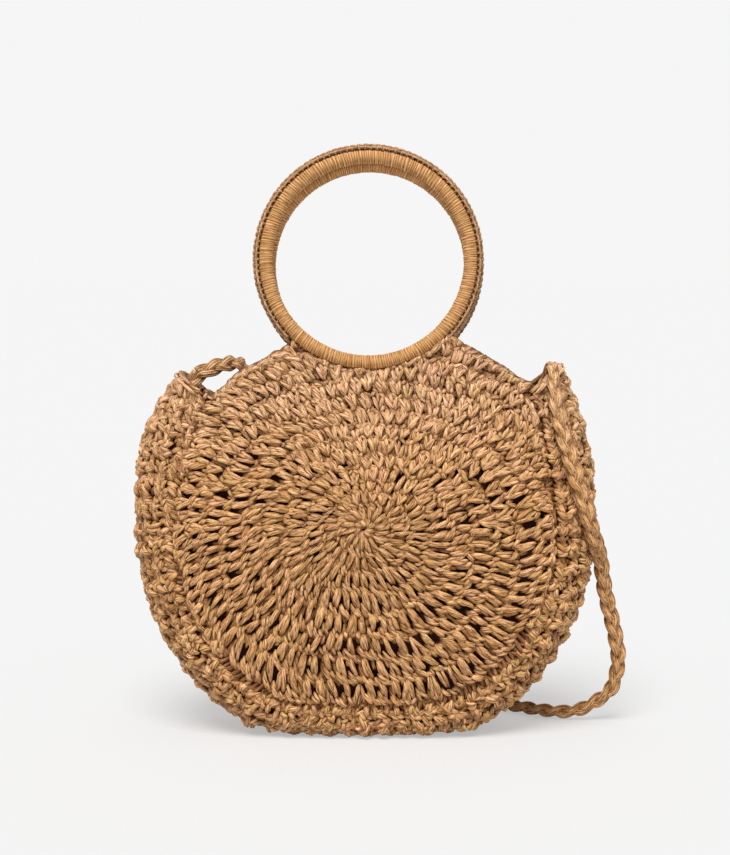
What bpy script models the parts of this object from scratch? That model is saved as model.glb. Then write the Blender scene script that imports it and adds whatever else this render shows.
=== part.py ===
"""Half moon bag: crocheted straw body, two wrapped ring handles and a plaited strap.

Metres, +Z up, the front faces -Y. The origin is the middle of the flat patch
that the bag stands on. Angles in the body's outline are taken about the body
centre, in the XZ plane, with zero along +X.
"""

import math

import bmesh
import bpy
from mathutils import Matrix, Vector

# Fabric and clearances
GAP = 0.0003
WALL = 0.005

# Body outline
CENTRE_HEIGHT = 0.132
SIDE_RADIUS = 0.150
BASE_PRESS = 0.0022
EAR_ANGLE = math.radians(40.5)
EAR_SWELL_ANGLE = math.radians(32)
SEAM_RADIUS = 0.122
SEAM_BASE_HEIGHT = 0.021
SEAM_EAR_RADIUS = 0.1395
EAR_OVERHANG = 0.0195
SEAM_BEAD_RADIUS = 0.003

# Body depth: half spacings between the middles of the front and back walls
CROWN_DEPTH = 0.0455
SEAM_DEPTH = 0.035
EAR_DEPTH = 0.019
MOUTH_DEPTH = 0.0155

# Mouth: the fold lines of the two handles, above the body centre, and the
# straight part of each rim
FRONT_FOLD_RISE = 0.097
BACK_FOLD_RISE = 0.092
FRONT_RIM_HALF = 0.092
BACK_RIM_HALF = 0.080

# Ring handles
RING_RADIUS = 0.06525
CORE_RADIUS = 0.004
WRAP_THICKNESS = 0.00095
WRAP_SLIT = 0.0006
EDGING_HEIGHT = 0.0048
EDGING_WIDTH = 0.0072
RING_REST_GAP = 0.0006
FRONT_RING_SHIFT = 0.002
BACK_RING_SHIFT = 0.005
BAND_HEIGHT = 0.0082
BAND_HORN = 0.008
BAND_GRIP_ANGLE = math.radians(48)
BAND_END_HEIGHT = 0.0015

# Lining, pocket and magnetic snap
LINING_SPACE = 0.0015
LINING_THICKNESS = 0.0009
LINING_RISE = 0.073
POCKET_WIDTH = 0.110
POCKET_DROP = 0.042
POCKET_HEIGHT = 0.080
POCKET_THICKNESS = 0.0008
SNAP_DROP = 0.0105
SNAP_RADIUS = 0.009
SNAP_THICKNESS = 0.0024
SNAP_NOSE_RADIUS = 0.004
SNAP_NOSE_HEIGHT = 0.001
WASHER_RADIUS = 0.008

# Shoulder strap, hand-laid from the left ear, behind the bag, to the right ear
STRAP_DIAMETER = 0.009
ANCHOR_DIAMETER = 0.0096
ANCHOR_CORNERS = 10
ANCHOR_POINTS = 9
STRAP_POINTS = 76
STRAP_ROUTE = [
    (-0.1085, 0.0010, 0.2332),
    (-0.1020, 0.0035, 0.2363),
    (-0.0945, 0.0090, 0.2388),
    (-0.0865, 0.0180, 0.2398),
    (-0.0800, 0.0290, 0.2365),
    (-0.0775, 0.0380, 0.2260),
    (-0.0785, 0.0430, 0.2080),
    (-0.0810, 0.0500, 0.1700),
    (-0.0820, 0.0550, 0.1200),
    (-0.0820, 0.0570, 0.0700),
    (-0.0810, 0.0585, 0.0320),
    (-0.0745, 0.0620, 0.0125),
    (-0.0560, 0.0665, 0.0056),
    (-0.0200, 0.0680, 0.0048),
    (0.0150, 0.0665, 0.0048),
    (0.0420, 0.0668, 0.0048),
    (0.0555, 0.0723, 0.0048),
    (0.0612, 0.0858, 0.0048),
    (0.0555, 0.0993, 0.0048),
    (0.0420, 0.1048, 0.0048),
    (0.0100, 0.1045, 0.0048),
    (-0.0200, 0.1020, 0.0060),
    (-0.0400, 0.0880, 0.0120),
    (-0.0460, 0.0670, 0.0152),
    (-0.0360, 0.0500, 0.0110),
    (-0.0130, 0.0450, 0.0052),
    (0.0250, 0.0480, 0.0048),
    (0.0650, 0.0550, 0.0048),
    (0.0930, 0.0580, 0.0048),
    (0.1120, 0.0500, 0.0048),
    (0.1310, 0.0370, 0.0055),
    (0.1470, 0.0270, 0.0115),
    (0.1590, 0.0200, 0.0240),
    (0.1640, 0.0140, 0.0420),
    (0.1620, 0.0080, 0.0600),
    (0.1580, 0.0010, 0.0860),
    (0.1530, -0.0130, 0.1130),
    (0.1478, -0.0276, 0.1270),
    (0.1403, -0.0350, 0.1495),
    (0.1315, -0.0345, 0.1780),
    (0.1237, -0.0292, 0.2060),
    (0.1214, -0.0262, 0.2186),
    (0.1202, -0.0211, 0.2295),
]
LEFT_ANCHOR_ROUTE = [
    (-0.1118, 0.0002, 0.2300),
    (-0.1152, 0.0000, 0.2256),
    (-0.1188, 0.0000, 0.2206),
]
RIGHT_ANCHOR_ROUTE = [
    (0.1200, -0.0178, 0.2356),
    (0.1182, -0.0124, 0.2394),
    (0.1145, -0.0062, 0.2394),
    (0.1112, -0.0018, 0.2352),
    (0.1120, 0.0000, 0.2292),
    (0.1152, 0.0000, 0.2252),
]

# Mesh steps
SEAM_STEPS = 36
MOUTH_STEPS = 16
PANEL_RINGS = 6
GUSSET_STEPS = 8
BEAD_CORNERS = 6
WRAP_CORNERS = 8
TRIM_CORNERS = 6
LINING_SIDE_STEPS = 6
RING_STEPS = 36
GRIP_STEPS = 10

# Outline exponents
FLAT_POWER = 20
EAR_POWER = 2.5
EAR_DEPTH_POWER = 1.5
DOME_POWER = 0.35
DOME_CORNER_POWER = 4
DOME_LEAST_RISE = 0.01
SIDE_ROUNDNESS = 2.2
BASE_ROUNDNESS = 4.0

# What follows from the sizes above
WRAP_RADIUS = CORE_RADIUS + GAP + WRAP_THICKNESS
GRIP_RADIUS = RING_RADIUS + WRAP_RADIUS + GAP
RING_HEIGHT = BAND_HEIGHT + GRIP_RADIUS
RING_LEAN = math.asin(
    (MOUTH_DEPTH - WRAP_RADIUS - RING_REST_GAP / 2) / (RING_HEIGHT + RING_RADIUS)
)
SEAM_CLEARANCE = SEAM_BEAD_RADIUS + GAP

FRONT = -1
BACK = 1

STRAW = (0.52, 0.34, 0.18, 1.0)
PALE_STRAW = (0.56, 0.38, 0.21, 1.0)
BROWN_COTTON = (0.06, 0.035, 0.022, 1.0)
WOOD = (0.45, 0.30, 0.17, 1.0)
BRASS = (0.55, 0.42, 0.22, 1.0)


def clear_scene():
    for item in list(bpy.data.objects):
        bpy.data.objects.remove(item, do_unlink=True)


def material(name, colour, roughness, metallic=0.0):
    found = bpy.data.materials.get(name)
    if found:
        return found
    made = bpy.data.materials.new(name)
    made.use_nodes = True
    shader = made.node_tree.nodes["Principled BSDF"]
    shader.inputs["Base Color"].default_value = colour
    shader.inputs["Roughness"].default_value = roughness
    shader.inputs["Metallic"].default_value = metallic
    return made


def finish_mesh(name, bm, finish, parent=None):
    """Turn a bmesh into a smooth-shaded object with one material."""
    bmesh.ops.recalc_face_normals(bm, faces=bm.faces)
    mesh = bpy.data.meshes.new(name)
    bm.to_mesh(mesh)
    bm.free()
    mesh.shade_smooth()
    mesh.set_sharp_from_angle(angle=math.radians(50))
    mesh.materials.append(finish)
    body = bpy.data.objects.new(name, mesh)
    bpy.context.scene.collection.objects.link(body)
    if parent:
        body.parent = parent
    return body


def add_grid(bm, points, close_rows, close_columns):
    """Quads over a grid of points. Returns the grid of vertices."""
    grid = [[bm.verts.new(point) for point in row] for row in points]
    rows = len(grid)
    columns = len(grid[0])
    for i in range(rows if close_rows else rows - 1):
        for j in range(columns if close_columns else columns - 1):
            after = (i + 1) % rows
            beside = (j + 1) % columns
            bm.faces.new(
                (grid[i][j], grid[after][j], grid[after][beside], grid[i][beside])
            )
    return grid


def add_border(bm, first, second, closed):
    """Quads between two rows of vertices of equal length."""
    count = len(first)
    for k in range(count if closed else count - 1):
        after = (k + 1) % count
        bm.faces.new((first[k], first[after], second[after], second[k]))


def shell(name, outer, inner, finish, close_columns=False, parent=None):
    """One closed body between two grids of points."""
    bm = bmesh.new()
    out = add_grid(bm, outer, False, close_columns)
    into = add_grid(bm, inner, False, close_columns)
    add_border(bm, out[0], into[0], close_columns)
    add_border(bm, out[-1], into[-1], close_columns)
    if not close_columns:
        add_border(bm, [row[0] for row in out], [row[0] for row in into], False)
        add_border(bm, [row[-1] for row in out], [row[-1] for row in into], False)
    return finish_mesh(name, bm, finish, parent)


def add_fan(bm, centre, ring):
    for k, vertex in enumerate(ring):
        bm.faces.new((centre, vertex, ring[(k + 1) % len(ring)]))


def dish(name, outer_rings, inner_rings, finish, parent=None):
    """One closed body between two stacks of rings, each starting with its centre."""
    bm = bmesh.new()
    rims = []
    for rings in (outer_rings, inner_rings):
        centre = bm.verts.new(rings[0][0])
        grid = add_grid(bm, rings[1:], False, True)
        add_fan(bm, centre, grid[0])
        rims.append(grid[-1])
    add_border(bm, rims[0], rims[1], True)
    return finish_mesh(name, bm, finish, parent)


def loft(name, loops, finish, closed=False, parent=None):
    """A solid through closed loops of points, capped at both ends unless closed."""
    bm = bmesh.new()
    grid = add_grid(bm, loops, closed, True)
    if not closed:
        bm.faces.new(grid[0])
        bm.faces.new(grid[-1])
    return finish_mesh(name, bm, finish, parent)


def spread(first, last, steps):
    return [first + (last - first) * k / steps for k in range(steps + 1)]


def softer_of(side, flat, power):
    """The smaller of two radii, with a rounded change from one to the other."""
    return (side ** -power + flat ** -power) ** (-1 / power)


def ear_rise(angle, power):
    """0 at the body's sides and below, 1 at the ears."""
    return (max(math.sin(angle), 0.0) / math.sin(EAR_ANGLE)) ** power


def seam_radius(angle):
    rise = math.sin(angle)
    if rise > -0.05:
        return SEAM_RADIUS + (SEAM_EAR_RADIUS - SEAM_RADIUS) * ear_rise(angle, EAR_POWER)
    return softer_of(SEAM_RADIUS, (CENTRE_HEIGHT - SEAM_BASE_HEIGHT) / -rise, FLAT_POWER)


def gusset_radius(angle):
    rise = math.sin(angle)
    if rise > -0.05:
        swell = min(max(rise, 0.0) / math.sin(EAR_SWELL_ANGLE), 1.0)
        ear_radius = SEAM_EAR_RADIUS + EAR_OVERHANG
        return SIDE_RADIUS + (ear_radius - SIDE_RADIUS) * swell * swell * (3 - 2 * swell)
    return softer_of(SIDE_RADIUS, (CENTRE_HEIGHT + BASE_PRESS) / -rise, FLAT_POWER)


def seam_depth(angle):
    return SEAM_DEPTH - (SEAM_DEPTH - EAR_DEPTH) * ear_rise(angle, EAR_DEPTH_POWER)


def gusset_roundness(angle):
    low = max(-math.sin(angle), 0.0) ** 4
    return SIDE_ROUNDNESS + (BASE_ROUNDNESS - SIDE_ROUNDNESS) * low


def gusset_section(angle, inset, start, steps):
    """Points across the gusset, front to back, at one angle.

    inset is the depth of this surface below the outer one, and start is how
    far outside the seam its edges begin.
    """
    base = seam_radius(angle)
    rise = gusset_radius(angle) - inset - base
    half = seam_depth(angle) + WALL / 2 - inset
    power = 2 / gusset_roundness(angle)
    edge = math.acos((start / rise) ** (1 / power))
    points = []
    for turn in spread(-edge, edge, steps):
        across = math.copysign(half * abs(math.sin(turn)) ** power, turn)
        radius = base + rise * math.cos(turn) ** power
        height = CENTRE_HEIGHT + radius * math.sin(angle)
        points.append((radius * math.cos(angle), across, max(height, 0.0)))
    return points


def rim_shape(side):
    if side == FRONT:
        return FRONT_RIM_HALF, FRONT_FOLD_RISE
    return BACK_RIM_HALF, BACK_FOLD_RISE


def wall_edge(angle, side):
    """Radius and half depth of a wall's edge: the seam, or the mouth's rim."""
    if math.sin(angle) <= math.sin(EAR_ANGLE) + 1e-9:
        return seam_radius(angle), seam_depth(angle)
    corner_x, corner_z = rim_shape(side)
    run = abs(math.cos(angle))
    rise = math.sin(angle)
    if corner_z * run <= corner_x * rise:
        return corner_z / rise, MOUTH_DEPTH
    end_x = SEAM_EAR_RADIUS * math.cos(EAR_ANGLE) - corner_x
    end_z = SEAM_EAR_RADIUS * math.sin(EAR_ANGLE) - corner_z
    across = run * end_z - rise * end_x
    radius = (corner_x * end_z - corner_z * end_x) / across
    share = (corner_x * rise - corner_z * run) / across
    return radius, MOUTH_DEPTH + (EAR_DEPTH - MOUTH_DEPTH) * share


def wall_depth(x, z, side):
    """Half depth of the middle of the front or back wall at a point.

    The dome is measured against a rounded outline near the centre and against
    the true edge at the edge, so the rim's corners leave no crease in it.
    """
    height = z - CENTRE_HEIGHT
    angle = math.atan2(height, x)
    radius, edge_depth = wall_edge(angle, side)
    share = min(math.hypot(x, height) / radius, 1.0)
    rise = max(math.sin(angle), DOME_LEAST_RISE)
    inner_radius = softer_of(seam_radius(angle), rim_shape(side)[1] / rise, DOME_CORNER_POWER)
    share *= radius / (inner_radius + (radius - inner_radius) * share * share)
    share = min(share, 1.0)
    dome = 1 + DOME_POWER * max(math.sin(angle), 0.0) ** 2
    return edge_depth + (CROWN_DEPTH - edge_depth) * (1 - share * share) ** dome


def on_wall(x, z, side, inset):
    """A point on the front or back wall, inset below its outer surface."""
    return (x, side * (wall_depth(x, z, side) + WALL / 2 - inset), z)


def outline_angles(end_angle):
    """Angles round a wall, from its right end by the base to the left, then the top."""
    seam = spread(end_angle, -math.pi - end_angle, SEAM_STEPS)
    top = spread(math.pi - end_angle, end_angle, MOUTH_STEPS)
    return seam, top[1:-1]


def wall_rings(side, inset, edge_points):
    """Rings of points from the body centre out to the given edge points."""
    rings = [[on_wall(0.0, CENTRE_HEIGHT, side, inset)]]
    for k in range(1, PANEL_RINGS + 1):
        share = k / PANEL_RINGS
        ring = []
        for edge_x, edge_z in edge_points:
            x = edge_x * share
            z = CENTRE_HEIGHT + (edge_z - CENTRE_HEIGHT) * share
            ring.append(on_wall(x, z, side, inset))
        rings.append(ring)
    return rings


def panel_edge_points(side):
    seam, top = outline_angles(EAR_ANGLE)
    corner = math.atan2(rim_shape(side)[1], rim_shape(side)[0])
    for angle in (corner, math.pi - corner):
        top[top.index(min(top, key=lambda near: abs(near - angle)))] = angle
    points = []
    for angle in seam:
        radius = seam_radius(angle) - SEAM_CLEARANCE
        points.append((radius * math.cos(angle), CENTRE_HEIGHT + radius * math.sin(angle)))
    for angle in top:
        radius = wall_edge(angle, side)[0]
        height = CENTRE_HEIGHT + radius * math.sin(angle) - GAP / 2
        points.append((radius * math.cos(angle), height))
    return points


def make_panel(name, side):
    edge = panel_edge_points(side)
    outer = wall_rings(side, 0.0, edge)
    inner = wall_rings(side, WALL, edge)
    return dish(name, outer, inner, material("straw", STRAW, 0.75))


def make_gusset():
    outer = []
    inner = []
    for angle in outline_angles(EAR_ANGLE)[0]:
        outer.append(gusset_section(angle, 0.0, SEAM_CLEARANCE, GUSSET_STEPS))
        inner.append(gusset_section(angle, WALL, SEAM_CLEARANCE, GUSSET_STEPS))
    return shell("gusset", outer, inner, material("straw", STRAW, 0.75))


def make_seam(name, side):
    """The sewn bead between a wall and the gusset, swept in radial planes."""
    loops = []
    for angle in outline_angles(EAR_ANGLE)[0]:
        loop = []
        for turn in spread(0.0, 2 * math.pi, BEAD_CORNERS)[:-1]:
            radius = seam_radius(angle) + SEAM_BEAD_RADIUS * math.cos(turn)
            across = side * seam_depth(angle) + SEAM_BEAD_RADIUS * math.sin(turn)
            height = CENTRE_HEIGHT + radius * math.sin(angle)
            loop.append((radius * math.cos(angle), across, height))
        loops.append(loop)
    return loft(name, loops, material("straw", STRAW, 0.75))


def make_fold(name, side):
    """An empty on a handle's fold line. Its +Z runs up the handle, its -Y outward."""
    fold = bpy.data.objects.new(name, None)
    bpy.context.scene.collection.objects.link(fold)
    height = CENTRE_HEIGHT + rim_shape(side)[1]
    place = Matrix.Translation((0.0, side * (MOUTH_DEPTH + WALL / 2), height))
    facing = Matrix.Rotation(0.0 if side == FRONT else math.pi, 4, "Z")
    lean = Matrix.Rotation(-RING_LEAN, 4, "X")
    fold.matrix_world = place @ facing @ lean
    return fold


def ring_shift(side):
    """Sideways place of a ring's centre in its fold's own frame."""
    return FRONT_RING_SHIFT if side == FRONT else -BACK_RING_SHIFT


def ring_point(side, turn, radius, across):
    """A point beside the ring. turn is taken from the ring's lowest point."""
    x = ring_shift(side) + radius * math.sin(turn)
    z = RING_HEIGHT - radius * math.cos(turn)
    return (x, WALL / 2 + across, z)


def tube_loop(side, turn, radius, half_height, half_width, corners):
    """A closed loop of points round the ring's tube at one turn."""
    loop = []
    for corner in spread(0.0, 2 * math.pi, corners)[:-1]:
        reach = radius + half_height * math.cos(corner)
        loop.append(ring_point(side, turn, reach, half_width * math.sin(corner)))
    return loop


def make_band(name, side, fold):
    """Crochet rows between the fold line and the ring, with a horn at each end."""
    rim_half = rim_shape(side)[0]
    tops = []
    for turn in spread(-BAND_GRIP_ANGLE, BAND_GRIP_ANGLE, GRIP_STEPS):
        tops.append(ring_point(side, turn, GRIP_RADIUS, 0.0))
    left_horn = ring_point(side, -BAND_GRIP_ANGLE, GRIP_RADIUS + BAND_HORN, 0.0)
    right_horn = ring_point(side, BAND_GRIP_ANGLE, GRIP_RADIUS + BAND_HORN, 0.0)
    left_end = (-rim_half, WALL / 2, BAND_END_HEIGHT)
    right_end = (rim_half, WALL / 2, BAND_END_HEIGHT)
    tops = [left_end, left_horn] + tops + [right_horn, right_end]
    layers = []
    for depth in (0.0, WALL):
        foot = GAP / 2 + depth * math.tan(RING_LEAN)
        rows = []
        for share in spread(0.0, 1.0, 3):
            rows.append([(x, depth, foot + (z - foot) * share) for x, _, z in tops])
        layers.append(rows)
    return shell(name, layers[0], layers[1], material("straw", STRAW, 0.75), parent=fold)


def make_ring_core(name, side, fold):
    turns = spread(0.0, 2 * math.pi, RING_STEPS)[:-1]
    reach = CORE_RADIUS
    loops = [tube_loop(side, turn, RING_RADIUS, reach, reach, TRIM_CORNERS) for turn in turns]
    return loft(name, loops, material("wood", WOOD, 0.6), closed=True, parent=fold)


def make_ring_wrap(name, side, fold):
    """A sleeve of yarn turns round the core, whose two ends meet at the bottom."""
    slit = WRAP_SLIT / 2 / RING_RADIUS
    turns = spread(slit, 2 * math.pi - slit, RING_STEPS)
    layers = []
    for reach in (WRAP_RADIUS, CORE_RADIUS + GAP):
        layers.append([tube_loop(side, turn, RING_RADIUS, reach, reach, WRAP_CORNERS) for turn in turns])
    finish = material("pale straw", PALE_STRAW, 0.7)
    return shell(name, layers[0], layers[1], finish, close_columns=True, parent=fold)


def make_ring_edging(name, side, fold):
    """The chain-stitch edging round the ring's outer side, from horn to horn."""
    high = EDGING_HEIGHT / 2
    wide = EDGING_WIDTH / 2
    start = BAND_GRIP_ANGLE + GAP / GRIP_RADIUS
    loops = []
    for turn in spread(start, 2 * math.pi - start, RING_STEPS - GRIP_STEPS):
        loops.append(tube_loop(side, turn, GRIP_RADIUS + high, high, wide, TRIM_CORNERS))
    return loft(name, loops, material("straw", STRAW, 0.75), parent=fold)


def make_handle(label, side):
    fold = make_fold(label + "_handle_pivot", side)
    make_band(label + "_handle_band", side, fold)
    make_ring_core(label + "_ring_core", side, fold)
    make_ring_wrap(label + "_ring_wrap", side, fold)
    make_ring_edging(label + "_ring_edging", side, fold)


def lining_end_angle():
    """Angle at which the seam reaches the lining's top."""
    low = 0.0
    high = EAR_ANGLE
    for _ in range(40):
        middle = (low + high) / 2
        if seam_radius(middle) * math.sin(middle) < LINING_RISE:
            low = middle
        else:
            high = middle
    return low


def make_lining(name, side):
    seam, top = outline_angles(lining_end_angle())
    edge = []
    for angle in seam:
        radius = seam_radius(angle) - GAP / 2
        edge.append((radius * math.cos(angle), CENTRE_HEIGHT + radius * math.sin(angle)))
    for angle in top:
        edge.append((LINING_RISE / math.tan(angle), CENTRE_HEIGHT + LINING_RISE))
    outer = wall_rings(side, WALL + LINING_SPACE, edge)
    inner = wall_rings(side, WALL + LINING_SPACE + LINING_THICKNESS, edge)
    return dish(name, outer, inner, material("brown cotton", BROWN_COTTON, 0.9))


def make_lining_side():
    inset = WALL + LINING_SPACE
    outer = []
    inner = []
    for angle in outline_angles(lining_end_angle())[0]:
        outer.append(gusset_section(angle, inset, GAP / 2, LINING_SIDE_STEPS))
        inner.append(gusset_section(angle, inset + LINING_THICKNESS, GAP / 2, LINING_SIDE_STEPS))
    return shell("lining_side", outer, inner, material("brown cotton", BROWN_COTTON, 0.9))


def make_pocket():
    """A flat pocket on the inside of the back lining."""
    inset = WALL + LINING_SPACE + LINING_THICKNESS + GAP
    pocket_base = CENTRE_HEIGHT - POCKET_DROP
    layers = []
    for depth in (inset, inset + POCKET_THICKNESS):
        rows = []
        for z in spread(pocket_base, pocket_base + POCKET_HEIGHT, 5):
            row = [on_wall(x, z, BACK, depth) for x in spread(-POCKET_WIDTH / 2, POCKET_WIDTH / 2, 7)]
            rows.append(row)
        layers.append(rows)
    return shell("slip_pocket", layers[0], layers[1], material("brown cotton", BROWN_COTTON, 0.9))


def make_wall_disc(name, side, outer_steps, inner_steps, finish):
    """A round piece that follows a wall. Each step is a radius and an inset."""
    height = CENTRE_HEIGHT + LINING_RISE - SNAP_DROP
    stacks = []
    for steps in (outer_steps, inner_steps):
        rings = []
        for radius, inset in steps:
            ring = []
            for turn in spread(0.0, 2 * math.pi, 16)[:-1]:
                x = radius * math.cos(turn)
                ring.append(on_wall(x, height + radius * math.sin(turn), side, inset))
            rings.append(ring)
        stacks.append(rings)
    return dish(name, stacks[0], stacks[1], finish)


def make_snap(name, side, nose_height):
    seat = WALL + LINING_SPACE + LINING_THICKNESS + GAP
    face = seat + SNAP_THICKNESS
    nose = face + nose_height
    outer = [(0.0, seat), (SNAP_RADIUS / 2, seat), (SNAP_RADIUS, seat)]
    inner = [
        (0.0, nose),
        (SNAP_NOSE_RADIUS, nose),
        (SNAP_NOSE_RADIUS, face),
        (SNAP_RADIUS, face),
    ]
    return make_wall_disc(name, side, outer, inner, material("brass", BRASS, 0.35, 1.0))


def make_washer(name, side):
    seat = WALL + GAP
    back = WALL + LINING_SPACE - GAP
    outer = [(0.0, seat), (WASHER_RADIUS / 2, seat), (WASHER_RADIUS, seat)]
    inner = [(0.0, back), (WASHER_RADIUS / 2, back), (WASHER_RADIUS, back)]
    return make_wall_disc(name, side, outer, inner, material("brass", BRASS, 0.35, 1.0))


def curve_point(before, start, end, after, share):
    """A point between start and end on a smooth curve through all four."""
    square = share * share
    cube = square * share
    return 0.5 * (
        2 * start
        + (end - before) * share
        + (2 * before - 5 * start + 4 * end - after) * square
        + (3 * start - before - 3 * end + after) * cube
    )


def smooth_route(route, count):
    """Evenly spaced points on a smooth curve through the route's own points."""
    knots = [Vector(point) for point in route]
    knots = [2 * knots[0] - knots[1]] + knots + [2 * knots[-1] - knots[-2]]
    fine = [knots[1]]
    for k in range(1, len(knots) - 2):
        for step in range(1, 25):
            fine.append(curve_point(*knots[k - 1:k + 3], step / 24))
    lengths = [0.0]
    for first, second in zip(fine, fine[1:]):
        lengths.append(lengths[-1] + (second - first).length)
    points = []
    k = 0
    for target in spread(0.0, lengths[-1], count - 1):
        while k < len(lengths) - 2 and lengths[k + 1] < target:
            k += 1
        share = (target - lengths[k]) / (lengths[k + 1] - lengths[k])
        points.append(fine[k].lerp(fine[k + 1], share))
    return points


def make_strap(points):
    curve = bpy.data.curves.new("strap", "CURVE")
    curve.dimensions = "3D"
    curve.bevel_depth = STRAP_DIAMETER / 2
    curve.bevel_resolution = 2
    curve.use_fill_caps = True
    spline = curve.splines.new("POLY")
    spline.points.add(len(points) - 1)
    for knot, point in zip(spline.points, points):
        knot.co = (*point, 1.0)
    curve.materials.append(material("pale straw", PALE_STRAW, 0.7))
    strap = bpy.data.objects.new("strap", curve)
    bpy.context.scene.collection.objects.link(strap)
    return strap


def make_anchor(name, strap_end, strap_before, route):
    """A sewn strap end: a stub from the strap's end face to the inside of an ear."""
    axis = (strap_end - strap_before).normalized()
    path = smooth_route([strap_end + axis * GAP] + route, ANCHOR_POINTS)
    side = axis.orthogonal()
    loops = []
    for k, place in enumerate(path):
        ahead = path[min(k + 1, len(path) - 1)]
        along = (ahead - path[k - 1]).normalized() if k else axis
        side = (side - along * side.dot(along)).normalized()
        over = along.cross(side)
        loop = []
        for turn in spread(0.0, 2 * math.pi, ANCHOR_CORNERS)[:-1]:
            spoke = side * math.cos(turn) + over * math.sin(turn)
            loop.append(place + spoke * (ANCHOR_DIAMETER / 2))
        loops.append(loop)
    return loft(name, loops, material("straw", STRAW, 0.75))


def make_bag():
    clear_scene()
    make_panel("front_panel", FRONT)
    make_panel("back_panel", BACK)
    make_gusset()
    make_seam("front_seam", FRONT)
    make_seam("back_seam", BACK)
    make_handle("front", FRONT)
    make_handle("back", BACK)
    make_lining("lining_front", FRONT)
    make_lining("lining_back", BACK)
    make_lining_side()
    make_pocket()
    make_snap("snap_socket", FRONT, -SNAP_NOSE_HEIGHT)
    make_snap("snap_stud", BACK, SNAP_NOSE_HEIGHT)
    make_washer("snap_washer_front", FRONT)
    make_washer("snap_washer_back", BACK)
    strap_points = smooth_route(STRAP_ROUTE, STRAP_POINTS)
    make_strap(strap_points)
    left_end, right_end = strap_points[0], strap_points[-1]
    make_anchor("strap_anchor_left", left_end, strap_points[1], LEFT_ANCHOR_ROUTE)
    make_anchor("strap_anchor_right", right_end, strap_points[-2], RIGHT_ANCHOR_ROUTE)


make_bag()
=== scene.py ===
# %% [markdown]
# # A half moon bag in crocheted straw
#
# The bag is two crocheted rounds joined by a curved gusset, with a wrapped
# ring on each side of its mouth and a plaited strap. Nearly all that the eye
# reads as straw is one shape over and over: a short, fat, slightly twisted
# strand, pointed at both ends. So this lesson models that strand once and
# then lays thousands of copies of it along the paths that a hook would give
# them. The CAD parts stay underneath as the frame that everything sits on, and
# each is hidden where a piece of straw, thread or cloth stands for it.

# %% Load the frame
import math

import bmesh
import bpy
import numpy as np
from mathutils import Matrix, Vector


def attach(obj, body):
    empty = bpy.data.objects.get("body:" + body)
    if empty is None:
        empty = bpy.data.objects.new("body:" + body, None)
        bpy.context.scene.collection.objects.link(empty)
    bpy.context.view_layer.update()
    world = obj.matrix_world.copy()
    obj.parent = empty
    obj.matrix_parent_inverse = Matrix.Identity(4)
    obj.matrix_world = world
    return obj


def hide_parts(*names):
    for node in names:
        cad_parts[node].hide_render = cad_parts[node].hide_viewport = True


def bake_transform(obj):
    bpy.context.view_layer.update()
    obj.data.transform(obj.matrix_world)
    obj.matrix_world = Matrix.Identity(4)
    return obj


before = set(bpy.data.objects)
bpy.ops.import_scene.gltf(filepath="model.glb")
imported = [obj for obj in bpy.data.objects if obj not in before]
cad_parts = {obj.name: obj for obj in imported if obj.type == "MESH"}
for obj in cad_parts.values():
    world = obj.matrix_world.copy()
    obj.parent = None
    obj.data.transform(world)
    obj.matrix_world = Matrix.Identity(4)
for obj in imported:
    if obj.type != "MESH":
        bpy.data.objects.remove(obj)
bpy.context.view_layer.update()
MM = 0.001
rng = np.random.default_rng(11)
print("nodes in the frame:", len(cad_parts))

# %% [markdown]
# ## Camera
#
# The picture was taken from a little above the bag, from far enough away that
# the rings look round. A long lens at 1.2 m gives the same look. The aim is
# tilted down, so the camera needs no shift.

# %% Camera
EYE = Vector((0.0, -1.2, 0.30))
AIM = Vector((0.0, 0.0, 0.1986))
LENS = 77.7
bpy.ops.object.select_all(action="DESELECT")
bpy.ops.object.camera_add(location=EYE, rotation=(AIM - EYE).to_track_quat("-Z", "Y").to_euler())
camera = bpy.context.object
camera.name = "camera"
camera.data.lens = LENS
bpy.context.scene.camera = camera
drop = math.degrees(math.atan2(EYE.z - AIM.z, AIM.y - EYE.y))
print("camera looks down by", round(drop, 2), "degrees")

# %% [markdown]
# ## Straw
#
# Paper straw is a narrow strip of paper twisted into yarn. Its surface has
# fine creases along its length, with painted shade in their bottoms and
# painted highlight on their ridges, and its colour wanders between pale tan
# and orange brown from one stretch to the next. The material therefore reads
# the strand's own UV map, where U is the distance along the strand in metres
# and V goes once round it, and three attributes: a tone that each strand gets;
# how deep in the fabric a point lies, which sets painted shade that darkens
# the straw down in the gaps and painted light on the straw on top; and how
# high up the bag a point lies, which sets painted light that makes the top of
# the bag paler.

# %% Material helpers
def new_material(name):
    """A node material, its nodes and links, and its shader."""
    made = bpy.data.materials.new(name)
    made.use_nodes = True
    return made, made.node_tree.nodes, made.node_tree.links, made.node_tree.nodes["Principled BSDF"]


def ramp_node(nodes, stops):
    """A colour ramp through the given places and colours."""
    ramp = nodes.new("ShaderNodeValToRGB")
    while len(ramp.color_ramp.elements) < len(stops):
        ramp.color_ramp.elements.new(0.5)
    for element, (place, colour) in zip(ramp.color_ramp.elements, stops):
        element.position = place
        element.color = (*colour, 1.0)
    return ramp


def add_node(nodes, kind, values):
    """A node of one kind with some of its inputs set."""
    node = nodes.new(kind)
    for label, value in values.items():
        node.inputs[label].default_value = value
    return node


def add_relief(nodes, links, height, strength, distance, shader):
    """A bump from a height socket into the shader's normal."""
    relief = add_node(nodes, "ShaderNodeBump", {"Strength": strength, "Distance": distance})
    links.new(height, relief.inputs["Height"])
    links.new(relief.outputs["Normal"], shader.inputs["Normal"])


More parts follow.
